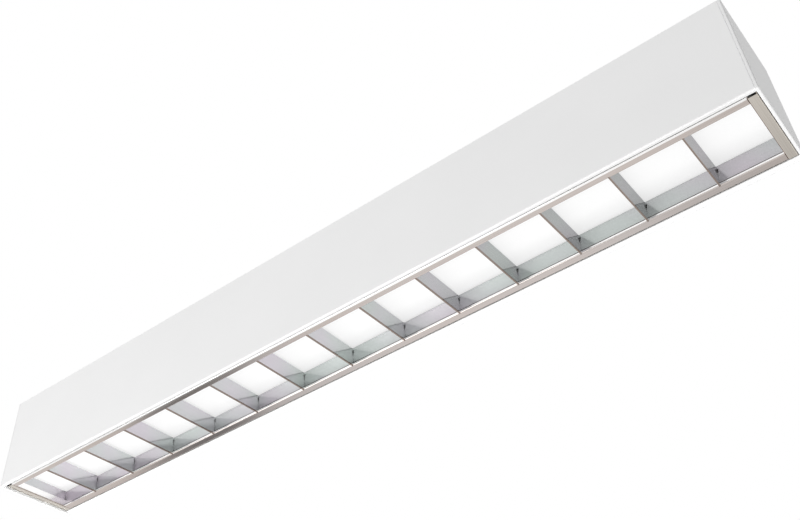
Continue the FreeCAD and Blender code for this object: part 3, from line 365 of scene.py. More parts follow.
def new_tree(name, inputs):
    """Empty geometry tree with named sizes."""
    tree = bpy.data.node_groups.new(name, "GeometryNodeTree")
    tree.interface.new_socket("Geometry", in_out="OUTPUT", socket_type="NodeSocketGeometry")
    for label, kind in inputs:
        tree.interface.new_socket(label, in_out="INPUT", socket_type=kind)
    return tree, tree.nodes.new("NodeGroupInput").outputs, tree.nodes.new("NodeGroupOutput")


def crowned_head(tree, radius, height, crown, sides):
    """Round head that stands on Z = 0 and rises by its height, its sides drawn in towards the top."""
    block = put(tree, "GeometryNodeMeshCylinder", {"Vertices": sides, "Side Segments": 4, "Radius": radius,
                                                   "Depth": height})
    place = put(tree, "ShaderNodeSeparateXYZ", {0: put(tree, "GeometryNodeInputPosition").outputs[0]})
    level = work(tree, "ADD", work(tree, "DIVIDE", place.outputs[2], height), 0.5)
    pull = work(tree, "MULTIPLY", level, crown)
    scale = work(tree, "SQRT", work(tree, "SUBTRACT", 1.0, work(tree, "MULTIPLY", pull, pull)))
    moved = put(tree, "ShaderNodeCombineXYZ", {0: work(tree, "MULTIPLY", place.outputs[0], scale),
                                               1: work(tree, "MULTIPLY", place.outputs[1], scale),
                                               2: work(tree, "MULTIPLY", level, height)})
    return put(tree, "GeometryNodeSetPosition", {"Geometry": block.outputs["Mesh"],
                                                 "Position": moved.outputs[0]}).outputs[0]


def grow(name, tree, sizes, body, replaced):
    """Runs a tree with its sizes, keeps the result as a plain mesh and puts it on its body."""
    seed = bpy.data.objects.new(name + "_seed", bpy.data.meshes.new(name + "_seed"))
    scene.collection.objects.link(seed)
    modifier = seed.modifiers.new("grow", "NODES")
    modifier.node_group = tree
    for item in tree.interface.items_tree:
        if item.in_out == "INPUT":
            modifier[item.identifier] = sizes[item.name]
    bpy.context.view_layer.update()
    grown = seed.evaluated_get(bpy.context.evaluated_depsgraph_get())
    mesh = bpy.data.meshes.new_from_object(grown)
    bpy.data.objects.remove(seed)
    mesh.name = name
    mesh.set_sharp_from_angle(angle=SMOOTH_UP_TO)
    piece = bpy.data.objects.new(name, mesh)
    scene.collection.objects.link(piece)
    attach(piece, body)
    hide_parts(*replaced)


def row_along_x(tree, count, start, pitch):
    """Points in a row along X."""
    step = put(tree, "ShaderNodeCombineXYZ", {0: pitch})
    return put(tree, "GeometryNodeMeshLine", {"Count": count, "Start Location": start,
                                              "Offset": step.outputs[0]}).outputs["Mesh"]


def set_out(tree, places, piece, finish, turn=(0.0, 0.0, 0.0)):
    """A copy of a piece in each place, made real and given its finish."""
    copies = put(tree, "GeometryNodeInstanceOnPoints", {"Points": places, "Instance": piece, "Rotation": turn})
    real = put(tree, "GeometryNodeRealizeInstances", {"Geometry": copies.outputs[0]})
    return put(tree, "GeometryNodeSetMaterial", {"Geometry": real.outputs[0], "Material": finish}).outputs[0]


def join(tree, *parts):
    """Several pieces of geometry as one."""
    whole = put(tree, "GeometryNodeJoinGeometry")
    for part in parts:
        tree.links.new(part, whole.inputs[0])
    return whole.outputs[0]


def make_led_tree(frame_finish, window_finish):
    """Row of LED packages that hang from Z = Underside, from First X on."""
    tree, size, result = new_tree("led_row", [
        ("Count", "NodeSocketInt"), ("First X", "NodeSocketFloat"), ("Pitch", "NodeSocketFloat"),
        ("Underside", "NodeSocketFloat"), ("Size", "NodeSocketFloat"), ("Frame Height", "NodeSocketFloat"),
        ("Window Radius", "NodeSocketFloat"), ("Window Height", "NodeSocketFloat")])
    start = put(tree, "ShaderNodeCombineXYZ", {0: size["First X"], 2: size["Underside"]})
    row = row_along_x(tree, size["Count"], start.outputs[0], size["Pitch"])
    block_size = put(tree, "ShaderNodeCombineXYZ", {0: size["Size"], 1: size["Size"], 2: size["Frame Height"]})
    block = put(tree, "GeometryNodeMeshCube", {"Size": block_size.outputs[0]})
    drop = put(tree, "ShaderNodeCombineXYZ", {2: work(tree, "MULTIPLY", size["Frame Height"], -0.5)})
    hung = put(tree, "GeometryNodeTransform", {"Geometry": block.outputs["Mesh"], "Translation": drop.outputs[0]})
    window = crowned_head(tree, size["Window Radius"], size["Window Height"], WINDOW_CROWN, WINDOW_SIDES)
    below = put(tree, "ShaderNodeCombineXYZ", {2: work(tree, "MULTIPLY", size["Frame Height"], -1.0)})
    turned = put(tree, "GeometryNodeTransform", {"Geometry": window, "Translation": below.outputs[0],
                                                 "Rotation": (math.pi, 0.0, 0.0)})
    frames = set_out(tree, row, hung.outputs[0], frame_finish)
    windows = set_out(tree, row, turned.outputs[0], window_finish)
    tree.links.new(join(tree, frames, windows), result.inputs[0])
    return tree


dress(coat("board_mask", BOARD_WHITE, 0.35, peel_per_metre=800.0), "led_board_left", "led_board_right")
connector_white = coat("connector_white", CONNECTOR_WHITE, 0.45, peel_per_metre=1200.0)
dress(connector_white, "board_link", "led_connector")
led_tree = make_led_tree(coat("led_frame_white", FRAME_WHITE, 0.35, peel_per_metre=2500.0),
                         coat("led_phosphor", PHOSPHOR_YELLOW, 0.30, peel_per_metre=2500.0, drift=0.05))
for side in ("left", "right"):
    row_low, row_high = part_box("led_packages_" + side)
    led_sizes = {"Count": round((row_high.x - row_low.x - LED_SIZE) / LED_PITCH) + 1,
                 "First X": row_low.x + LED_SIZE / 2, "Pitch": LED_PITCH, "Underside": row_high.z, "Size": LED_SIZE,
                 "Frame Height": LED_FRAME_HEIGHT, "Window Radius": WINDOW_RADIUS, "Window Height": WINDOW_HEIGHT}
    grow("led_row_" + side, led_tree, led_sizes, "housing", ["led_packages_" + side])


# Driver: light grey moulded case with two fixing ears; terminal block: moulded white, three poles.
# Both stand on the gear tray, joined by insulated leads.
DRIVER_GREY = (0.60, 0.61, 0.63, 1.0)
dress(coat("driver_case_grey", DRIVER_GREY, 0.48, peel_per_metre=900.0), "driver")
dress(connector_white, "terminal_block")


# Leads: brown and blue from the terminals to the driver, green with yellow stripes to the earth stud,
# red from the driver to the boards. Soft plastic insulation with a dull sheen.
LEAD_BROWN = (0.13, 0.055, 0.03, 1.0)
LEAD_BLUE = (0.03, 0.12, 0.36, 1.0)
LEAD_GREEN = (0.05, 0.26, 0.07, 1.0)
LEAD_YELLOW = (0.72, 0.56, 0.05, 1.0)
LEAD_RED = (0.45, 0.03, 0.03, 1.0)
LEAD_ROUGHNESS = 0.5
LEAD_PEEL = 1500.0
ACROSS = (0.0, 1.0, 0.0)
EARTH_STRIPE_WAY = (0.7, 0.7, 0.0)
EARTH_STRIPES = 900.0


def two_colour_lead(name, first, second, direction, bands=0.0):
    """Insulation in two colours: split by the side of a plane, or in bands along a direction."""
    material = coat(name, first, LEAD_ROUGHNESS, peel_per_metre=LEAD_PEEL)
    tree = material.node_tree
    place = put(tree, "ShaderNodeTexCoord")
    along = put(tree, "ShaderNodeVectorMath", {0: place.outputs["Object"], 1: direction},
                operation="DOT_PRODUCT").outputs["Value"]
    if bands:
        along = work(tree, "SINE", work(tree, "MULTIPLY", along, bands))
    side = work(tree, "GREATER_THAN", along, 0.0)
    mix = put(tree, "ShaderNodeMix", {"Factor": side, 6: first, 7: second}, data_type="RGBA")
    surface = next(n for n in tree.nodes if n.type == "GROUP")
    tree.links.new(mix.outputs[2], surface.inputs["Colour"])
    return material


dress(two_colour_lead("mains_insulation", LEAD_BLUE, LEAD_BROWN, ACROSS), "mains_leads")
dress(two_colour_lead("earth_insulation", LEAD_GREEN, LEAD_YELLOW, EARTH_STRIPE_WAY, EARTH_STRIPES), "earth_lead")
dress(coat("led_insulation", LEAD_RED, LEAD_ROUGHNESS, peel_per_metre=LEAD_PEEL), "led_leads")


# Screws: zinc-plated pan heads with a cross recess. Four hold the caps, four the tray, eight the boards
# and two the driver. They are set in rectangles about the middle of the light or of the driver.
SCREW_ZINC = (0.55, 0.55, 0.57, 1.0)
SCREW_ZINC_PALE = (0.62, 0.62, 0.63, 1.0)
SCREW_HEAD_RADIUS = 0.0036
SCREW_HEAD_HEIGHT = 0.0020
SCREW_RADIUS = 0.0020
BOARD_HEAD_RADIUS = 0.0026
BOARD_HEAD_HEIGHT = 0.0016
BOARD_SCREW_RADIUS = 0.0015
BOARD_SCREW_INNER_X = 0.043
BRACKET_SHEET = 0.0015
SCREW_CROWN = 0.6
SCREW_SIDES = 24
SHANK_SIDES = 16
RECESS_WIDTH = 0.24
SAME_PLACE = 0.0005


def fastener_places(tree, size):
    """Four places in a rectangle about Centre X; places that fall together become one."""
    grid = put(tree, "GeometryNodeMeshGrid", {"Size X": work(tree, "MULTIPLY", size["Reach X"], 2.0),
                                              "Size Y": work(tree, "MULTIPLY", size["Reach Y"], 2.0),
                                              "Vertices X": 2, "Vertices Y": 2})
    single = put(tree, "GeometryNodeMergeByDistance", {"Geometry": grid.outputs["Mesh"], "Distance": SAME_PLACE})
    shift = put(tree, "ShaderNodeCombineXYZ", {0: size["Centre X"], 2: size["Seat Z"]})
    return put(tree, "GeometryNodeSetPosition", {"Geometry": single.outputs[0],
                                                 "Offset": shift.outputs[0]}).outputs[0]


def fastener_turn(tree, size):
    """Turn of each fastener: along Z, or along X and away from the middle."""
    here = put(tree, "ShaderNodeSeparateXYZ", {0: put(tree, "GeometryNodeInputPosition").outputs[0]})
    lean = work(tree, "MULTIPLY", work(tree, "SIGN", here.outputs[0]), size["Lean"])
    return put(tree, "ShaderNodeCombineXYZ", {0: size["Flip"], 1: lean}).outputs[0]


def fastener_shank(tree, size):
    """Plain shank from the seat along +Z."""
    shank = put(tree, "GeometryNodeMeshCylinder", {"Vertices": SHANK_SIDES, "Radius": size["Shank Radius"],
                                                   "Depth": size["Shank Length"]})
    rise = put(tree, "ShaderNodeCombineXYZ", {2: work(tree, "MULTIPLY", size["Shank Length"], 0.5)})
    return put(tree, "GeometryNodeTransform", {"Geometry": shank.outputs["Mesh"],
                                               "Translation": rise.outputs[0]}).outputs[0]


def make_screw_tree(finish):
    """Screws with a pan head below the seat, a cross recess in it, and the shank above."""
    tree, size, result = new_tree("screw_set", [
        ("Reach X", "NodeSocketFloat"), ("Reach Y", "NodeSocketFloat"), ("Centre X", "NodeSocketFloat"),
        ("Seat Z", "NodeSocketFloat"), ("Flip", "NodeSocketFloat"), ("Lean", "NodeSocketFloat"),
        ("Head Radius", "NodeSocketFloat"), ("Head Height", "NodeSocketFloat"),
        ("Shank Radius", "NodeSocketFloat"), ("Shank Length", "NodeSocketFloat")])
    head = crowned_head(tree, size["Head Radius"], size["Head Height"], SCREW_CROWN, SCREW_SIDES)
    narrow = work(tree, "MULTIPLY", size["Head Radius"], RECESS_WIDTH)
    arm = put(tree, "ShaderNodeCombineXYZ", {0: size["Head Radius"], 1: narrow, 2: size["Head Height"]})
    cross = put(tree, "ShaderNodeCombineXYZ", {0: narrow, 1: size["Head Radius"], 2: size["Head Height"]})
    lift = put(tree, "ShaderNodeCombineXYZ", {2: size["Head Height"]})
    recess = put(tree, "GeometryNodeMeshBoolean", {"Mesh 1": head}, operation="DIFFERENCE", solver="EXACT")
    for bar in (arm, cross):
        block = put(tree, "GeometryNodeMeshCube", {"Size": bar.outputs[0]})
        raised = put(tree, "GeometryNodeTransform", {"Geometry": block.outputs["Mesh"],
                                                     "Translation": lift.outputs[0]})
        tree.links.new(raised.outputs[0], recess.inputs["Mesh 2"])
    turned = put(tree, "GeometryNodeTransform", {"Geometry": recess.outputs[0], "Rotation": (math.pi, 0.0, 0.0)})
    whole = join(tree, turned.outputs[0], fastener_shank(tree, size))
    screws = set_out(tree, fastener_places(tree, size), whole, finish, fastener_turn(tree, size))
    tree.links.new(screws, result.inputs[0])
    return tree


zinc_screw = rolled("zinc_screw", SCREW_ZINC, SCREW_ZINC_PALE, (600.0, 600.0, 600.0), 0.32)
screw_tree = make_screw_tree(zinc_screw)
dress(zinc_screw, "earth_stud", "earth_nut")


def set_screws(name, node, reach_x, reach_y, centre_x, seat_z, flip, lean, head, length):
    """One set of like screws in place of the plain ones."""
    sizes = {"Reach X": reach_x, "Reach Y": reach_y, "Centre X": centre_x, "Seat Z": seat_z, "Flip": flip,
             "Lean": lean, "Head Radius": head[0], "Head Height": head[1], "Shank Radius": head[2],
             "Shank Length": length}
    grow(name, screw_tree, sizes, "housing", [node])


PLAIN_HEAD = (SCREW_HEAD_RADIUS, SCREW_HEAD_HEIGHT, SCREW_RADIUS)
BOARD_HEAD = (BOARD_HEAD_RADIUS, BOARD_HEAD_HEIGHT, BOARD_SCREW_RADIUS)
cap_low, cap_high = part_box("end_cap_screws")
cap_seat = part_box("end_bracket_right")[1].x - BRACKET_SHEET
set_screws("cap_screw_set", "end_cap_screws", cap_seat, cap_high.y - SCREW_HEAD_RADIUS, 0.0,
           (cap_low.z + cap_high.z) / 2, 0.0, math.pi / 2, PLAIN_HEAD, cap_high.x - cap_seat)
tray_low, tray_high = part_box("tray_screws")
set_screws("tray_screw_set", "tray_screws", tray_high.x - SCREW_HEAD_RADIUS, tray_high.y - SCREW_HEAD_RADIUS, 0.0,
           tray_low.z + SCREW_HEAD_HEIGHT, 0.0, 0.0, PLAIN_HEAD, tray_high.z - tray_low.z - SCREW_HEAD_HEIGHT)
board_low, board_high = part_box("board_screws")
board_length = board_high.z - board_low.z - BOARD_HEAD_HEIGHT
for label, reach in (("outer", board_high.x - BOARD_HEAD_RADIUS), ("inner", BOARD_SCREW_INNER_X)):
    set_screws("board_screw_set_" + label, "board_screws", reach, board_high.y - BOARD_HEAD_RADIUS, 0.0,
               board_low.z + BOARD_HEAD_HEIGHT, 0.0, 0.0, BOARD_HEAD, board_length)
ear_low, ear_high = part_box("driver_screws")
set_screws("driver_screw_set", "driver_screws", (ear_high.x - ear_low.x) / 2 - SCREW_HEAD_RADIUS, 0.0,
           (ear_low.x + ear_high.x) / 2, ear_high.z - SCREW_HEAD_HEIGHT, math.pi, 0.0, PLAIN_HEAD,
           ear_high.z - ear_low.z - SCREW_HEAD_HEIGHT)


# Diffuser: a trough of opal acrylic that snaps over the tray and glows when the boards are lit. Seen through the
# louvre it is almost white, a little greyer away from the row of LEDs; its side walls glow only faintly, a painted
# shade that keeps the housing dark behind the reflectors' slots.
OPAL_WHITE = (0.20, 0.20, 0.20, 1.0)
OPAL_GLOW = 0.755
OPAL_BRIGHT_HALF = 0.008
OPAL_EDGE_HALF = 0.048
OPAL_EDGE_SHARE = 0.90
OPAL_WALL_LOW = 0.004
OPAL_WALL_HIGH = 0.012
OPAL_WALL_SHARE = 0.08


def object_place(tree):
    """X, Y and Z on the piece that a material is on."""
    return put(tree, "ShaderNodeSeparateXYZ", {0: put(tree, "ShaderNodeTexCoord").outputs["Object"]}).outputs


opal = coat("opal_acrylic", OPAL_WHITE, 0.35, peel_per_metre=250.0, drift=0.006)
opal_tree = opal.node_tree
opal_shader = opal_tree.nodes["Principled BSDF"]
opal_place = object_place(opal_tree)
opal_fall = put(opal_tree, "ShaderNodeMapRange",
                {"Value": work(opal_tree, "ABSOLUTE", opal_place[1]), "From Min": OPAL_BRIGHT_HALF,
                 "From Max": OPAL_EDGE_HALF, "To Min": 1.0, "To Max": OPAL_EDGE_SHARE},
                interpolation_type="SMOOTHSTEP")
opal_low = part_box("diffuser")[0].z
# Painted shade: the glow falls to a small share up the side walls, so the housing behind the reflectors' slots stays
# dark.
opal_wall = put(opal_tree, "ShaderNodeMapRange",
                {"Value": opal_place[2], "From Min": opal_low + OPAL_WALL_LOW, "From Max": opal_low + OPAL_WALL_HIGH,
                 "To Min": 1.0, "To Max": OPAL_WALL_SHARE})
opal_tree.links.new(work(opal_tree, "MULTIPLY", opal_fall.outputs[0], opal_wall.outputs[0]),
                    opal_shader.inputs["Emission Color"])
opal_shader.inputs["Emission Strength"].default_value = OPAL_GLOW
dress(opal, "diffuser")


# Rails: channel-shaped frame of the louvre, folded from satin anodised aluminium in a warm grey.
# The two long rails carry the reflectors; the two end rails close the frame and are open at their ends.
# Their inner faces, towards the cells, and the front rail's outer bend carry a painted highlight, toned near-white to
# stand in for the bright reflection they catch; the end rails' lower inner bends carry a painted brown line of shade.
RAIL_WARM = (0.605, 0.535, 0.495, 1.0)
RAIL_COOL = (0.575, 0.527, 0.505, 1.0)
RAIL_END_WARM = (0.645, 0.60, 0.54, 1.0)
RAIL_END_COOL = (0.625, 0.58, 0.53, 1.0)
RAIL_PAINTED_HIGHLIGHT = (0.97, 0.96, 0.95, 1.0)
RAIL_BEND_SHADE = (0.26, 0.19, 0.16, 1.0)
RAIL_ROUGHNESS = 0.15
RAIL_STREAK_DEPTH = 0.05
RAIL_SHEET = 0.0008
RAIL_BRIGHT_EDGE = 0.0026
RAIL_BEND_WIDTH = 0.0009


def near_middle(tree, offset, limit):
    """1 where an offset to either side is under a limit."""
    return work(tree, "LESS_THAN", work(tree, "ABSOLUTE", offset), limit)


def tone_where(material, mask, colour):
    """Second colour on a material where its mask is 1."""
    tree = material.node_tree
    base = tree.nodes["Principled BSDF"].inputs["Base Color"]
    mix = put(tree, "ShaderNodeMix", {"Factor": mask, 6: base.links[0].from_socket, 7: colour}, data_type="RGBA")
    tree.links.new(mix.outputs[2], base)


long_rail = rolled("satin_rail_long", RAIL_WARM, RAIL_COOL, (6.0, 900.0, 900.0), RAIL_ROUGHNESS,
                   streak_depth=RAIL_STREAK_DEPTH)
long_tree = long_rail.node_tree
long_place = object_place(long_tree)
rail_inner_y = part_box("side_rail_back")[0].y
rail_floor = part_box("side_rail_back")[0].z + RAIL_SHEET
# Painted highlight: the long rails' inner faces above the floor are toned near-white.
long_inner_highlight = work(long_tree, "MULTIPLY", near_middle(long_tree, long_place[1], rail_inner_y + RAIL_SHEET / 2),
                  work(long_tree, "GREATER_THAN", long_place[2], rail_floor))
tone_where(long_rail, long_inner_highlight, RAIL_PAINTED_HIGHLIGHT)
# Painted highlight: the front rail's outer bend is toned near-white.
front_bend_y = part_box("side_rail_front")[0].y + RAIL_BRIGHT_EDGE
tone_where(long_rail, work(long_tree, "LESS_THAN", long_place[1], front_bend_y), RAIL_PAINTED_HIGHLIGHT)
end_rail = rolled("satin_rail_end", RAIL_END_WARM, RAIL_END_COOL, (900.0, 6.0, 900.0), RAIL_ROUGHNESS,
                  streak_depth=RAIL_STREAK_DEPTH)
end_tree = end_rail.node_tree
end_place = object_place(end_tree)
rail_inner_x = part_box("end_rail_right")[0].x
# Painted highlight: the end rails' inner faces above the floor are toned near-white.
end_inner_highlight = work(end_tree, "MULTIPLY", near_middle(end_tree, end_place[0], rail_inner_x + RAIL_SHEET / 2),
                 work(end_tree, "GREATER_THAN", end_place[2], rail_floor))
tone_where(end_rail, end_inner_highlight, RAIL_PAINTED_HIGHLIGHT)
# Painted shade: a brown line along the end rails' inner bend, below the floor.
end_bend_shade = work(end_tree, "MULTIPLY", near_middle(end_tree, end_place[0], rail_inner_x + RAIL_BEND_WIDTH),
                work(end_tree, "LESS_THAN", end_place[2], rail_floor))
tone_where(end_rail, end_bend_shade, RAIL_BEND_SHADE)
dress(long_rail, "side_rail_front", "side_rail_back")
dress(end_rail, "end_rail_left", "end_rail_right")


# Reflectors: thin semi-bright anodised sheet that stands in the rails and leans in over the cells.
# The long ones have a slot for each blade, wider towards its top; a flange stiffens every upper edge.
# Their colour carries painted shade, darker towards the right-hand end, and the long ones also carry a painted dark
# band of shade along their foot.
REFLECTOR_LAVENDER = (0.585, 0.545, 0.59, 1.0)
REFLECTOR_GREEN = (0.55, 0.59, 0.575, 1.0)
REFLECTOR_MIRROR = 0.72
REFLECTOR_ROUGHNESS = 0.09
REFLECTOR_TINTS = 9.0
REFLECTOR_STREAK_DEPTH = 0.03
REFLECTOR_SHADE_FROM = 0.15
REFLECTOR_SHADE_RIGHT = 0.87
REFLECTOR_SHEET = 0.0008
REFLECTOR_LEAN = 0.0042
END_LEAN = 0.0016
REFLECTOR_FLANGE = 0.0090
SLOT_LOW = -0.1313
SLOT_HIGH = -0.1207
SLOT_LOW_HALF = 0.0020
SLOT_HIGH_HALF = 0.0053
BLADE_COUNT = 13
BLADE_PITCH = 0.0853
END_UPRIGHT = 0.0098
REFLECTOR_FOOT_SHADE = (0.14, 0.13, 0.13, 1.0)
REFLECTOR_FOOT_TOP = -0.1371
REFLECTOR_SMOOTH_UP_TO = math.radians(30.0)
CUTTER_REACH = 0.01
CELL_CLEARANCE = 0.0001


def bright_sheet(name, first_tint, second_tint, streaks, tints):
    """Semi-bright anodised sheet with fine rolling streaks."""
    return rolled(name, first_tint, second_tint, streaks, REFLECTOR_ROUGHNESS, tints=tints,
                  streak_depth=REFLECTOR_STREAK_DEPTH, metallic=REFLECTOR_MIRROR)


long_reflector = bright_sheet("bright_reflector_long", REFLECTOR_LAVENDER, REFLECTOR_GREEN, (5.0, 700.0, 700.0),
                              REFLECTOR_TINTS)
end_reflector = bright_sheet("bright_reflector_end", REFLECTOR_LAVENDER, REFLECTOR_GREEN, (700.0, 5.0, 700.0),
                             REFLECTOR_TINTS)


def closed_prism(name, near, far):
    """Closed mesh between two outlines with the same number of points."""
    mesh = bpy.data.meshes.new(name)
    count = len(near)
    sides = [(i, (i + 1) % count, count + (i + 1) % count, count + i) for i in range(count)]
    ends = [tuple(range(count))[::-1], tuple(range(count, 2 * count))]
    mesh.from_pydata(list(near) + list(far), [], sides + ends)
    work_mesh = bmesh.new()
    work_mesh.from_mesh(mesh)
    bmesh.ops.recalc_face_normals(work_mesh, faces=work_mesh.faces)
    work_mesh.to_mesh(mesh)
    work_mesh.free()
    mesh.polygons.foreach_set("use_smooth", [True] * len(mesh.polygons))
    piece = bpy.data.objects.new(name, mesh)
    scene.collection.objects.link(piece)
    return piece


def reflector_outline(foot, lean, upright, low, high):
    """Section of a reflector as (across, height): inner face up, flange, outer face down."""
    head = foot - lean
    under = high - REFLECTOR_SHEET
    bend = low + upright
    corner = foot - lean * (under - bend) / (high - bend) + REFLECTOR_SHEET
    inner = [(foot, low), (foot, bend), (head, high)]
    flange = [(head + REFLECTOR_FLANGE, high), (head + REFLECTOR_FLANGE, under), (corner, under)]
    outer = [(foot + REFLECTOR_SHEET, bend), (foot + REFLECTOR_SHEET, low)]
    if upright:
        return inner + flange + outer
    return inner[1:] + flange + outer[1:]


def cut_slots(piece, across):
    """Cuts one slot for each blade out of a long reflector."""
    cutters = bmesh.new()
    for i in range(BLADE_COUNT):
        middle = (i - (BLADE_COUNT - 1) / 2) * BLADE_PITCH
        ring = [(middle - SLOT_LOW_HALF, SLOT_LOW), (middle + SLOT_LOW_HALF, SLOT_LOW),
                (middle + SLOT_HIGH_HALF, SLOT_HIGH), (middle - SLOT_HIGH_HALF, SLOT_HIGH)]
        near = [cutters.verts.new((x, across - CUTTER_REACH, z)) for x, z in ring]
        far = [cutters.verts.new((x, across + CUTTER_REACH, z)) for x, z in ring]
        cutters.faces.new(near)
        cutters.faces.new(far[::-1])
        for j in range(4):
            k = (j + 1) % 4
            cutters.faces.new((near[k], near[j], far[j], far[k]))
    bmesh.ops.recalc_face_normals(cutters, faces=cutters.faces)
    cutter_mesh = bpy.data.meshes.new("slot_cutters")
    cutters.to_mesh(cutter_mesh)
    cutters.free()
    cutter = bpy.data.objects.new("slot_cutters", cutter_mesh)
    scene.collection.objects.link(cutter)
    boolean = piece.modifiers.new("slots", "BOOLEAN")
    boolean.operation = "DIFFERENCE"
    boolean.object = cutter
    bpy.context.view_layer.update()
    cut = bpy.data.meshes.new_from_object(piece.evaluated_get(bpy.context.evaluated_depsgraph_get()))
    piece.modifiers.remove(boolean)
    piece.data = cut
    bpy.data.objects.remove(cutter)


def place_reflector(piece, material, node):
    """Finish, smooth shading up to the folds, and the piece's place on the louvre."""
    piece.data.name = piece.name
    piece.data.materials.clear()
    piece.data.materials.append(material)
    piece.data.polygons.foreach_set("material_index", [0] * len(piece.data.polygons))
    piece.data.set_sharp_from_angle(angle=REFLECTOR_SMOOTH_UP_TO)
    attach(piece, "louver")
    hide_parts(node)


def shade_along_length(material, start, end, left, right):
    """Painted light and shade along the light's length: scales a material's colour from one share to another."""
    tree = material.node_tree
    base = tree.nodes["Principled BSDF"].inputs["Base Color"]
    share = put(tree, "ShaderNodeMapRange", {"Value": object_place(tree)[0], "From Min": start, "From Max": end,
                                             "To Min": left, "To Max": right})
    shaded = put(tree, "ShaderNodeVectorMath", {0: base.links[0].from_socket, "Scale": share.outputs[0]},
                operation="SCALE")
    tree.links.new(shaded.outputs[0], base)


side_low, side_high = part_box("side_reflector_back")
# Painted shade: the long reflectors grow darker towards the right-hand end.
shade_along_length(long_reflector, REFLECTOR_SHADE_FROM, side_high.x, 1.0, REFLECTOR_SHADE_RIGHT)
# Painted shade: a dark band along the foot of the long reflectors, standing in for the shaded gap behind the rail's
# lip that they mirror.
foot = work(long_reflector.node_tree, "LESS_THAN", object_place(long_reflector.node_tree)[2], REFLECTOR_FOOT_TOP)
tone_where(long_reflector, foot, REFLECTOR_FOOT_SHADE)
side_foot = side_low.y + REFLECTOR_LEAN
side_section = reflector_outline(side_foot, REFLECTOR_LEAN, 0.0, side_low.z, side_high.z)
for label, sign in (("front", -1.0), ("back", 1.0)):
    reflector = closed_prism("long_reflector_" + label, [(side_low.x, sign * a, z) for a, z in side_section],
                             [(side_high.x, sign * a, z) for a, z in side_section])
    cut_slots(reflector, sign * side_foot)
    place_reflector(reflector, long_reflector, "side_reflector_" + label)


def cell_half_width(z):
    """Half of the width between the long reflectors at a height."""
    t = (z - side_low.z) / (side_high.z - side_low.z)
    return side_foot - CELL_CLEARANCE - REFLECTOR_LEAN * t


end_low, end_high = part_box("end_reflector_right")
end_foot = end_low.x + END_LEAN
end_section = reflector_outline(end_foot, END_LEAN, END_UPRIGHT, end_low.z, end_high.z)
for label, sign in (("left", -1.0), ("right", 1.0)):
    reflector = closed_prism("cell_end_" + label, [(sign * a, -cell_half_width(z), z) for a, z in end_section],
                             [(sign * a, cell_half_width(z), z) for a, z in end_section])
    place_reflector(reflector, end_reflector, "end_reflector_" + label)


# Cross blades: thin bright sheet folded to a V that opens towards the top and is cut to fit the reflectors.
# A tab at each end goes through the reflector's slot. The fold is the thin lower edge that shows from below.
BLADE_LAVENDER = (0.57, 0.54, 0.58, 1.0)
BLADE_GREEN = (0.535, 0.57, 0.555, 1.0)
BLADE_FOLD_HALF = 0.0006
BLADE_TOP_HALF = 0.0032
BLADE_SHEET = 0.0005
BLADE_TAB_LOW = -0.1295
BLADE_TAB_HIGH = -0.1225
FOLD_SHARE = 0.5
FOLD_TAN = (0.27, 0.215, 0.185, 1.0)
FOLD_HEIGHT = 0.0012
BLADE_TINTS = 14.0
BLADE_SHADE_LEFT = 1.15
BLADE_SHADE_RIGHT = 0.52
BLADE_SHADE_FROM = 0.0
SEAM = 0.00001


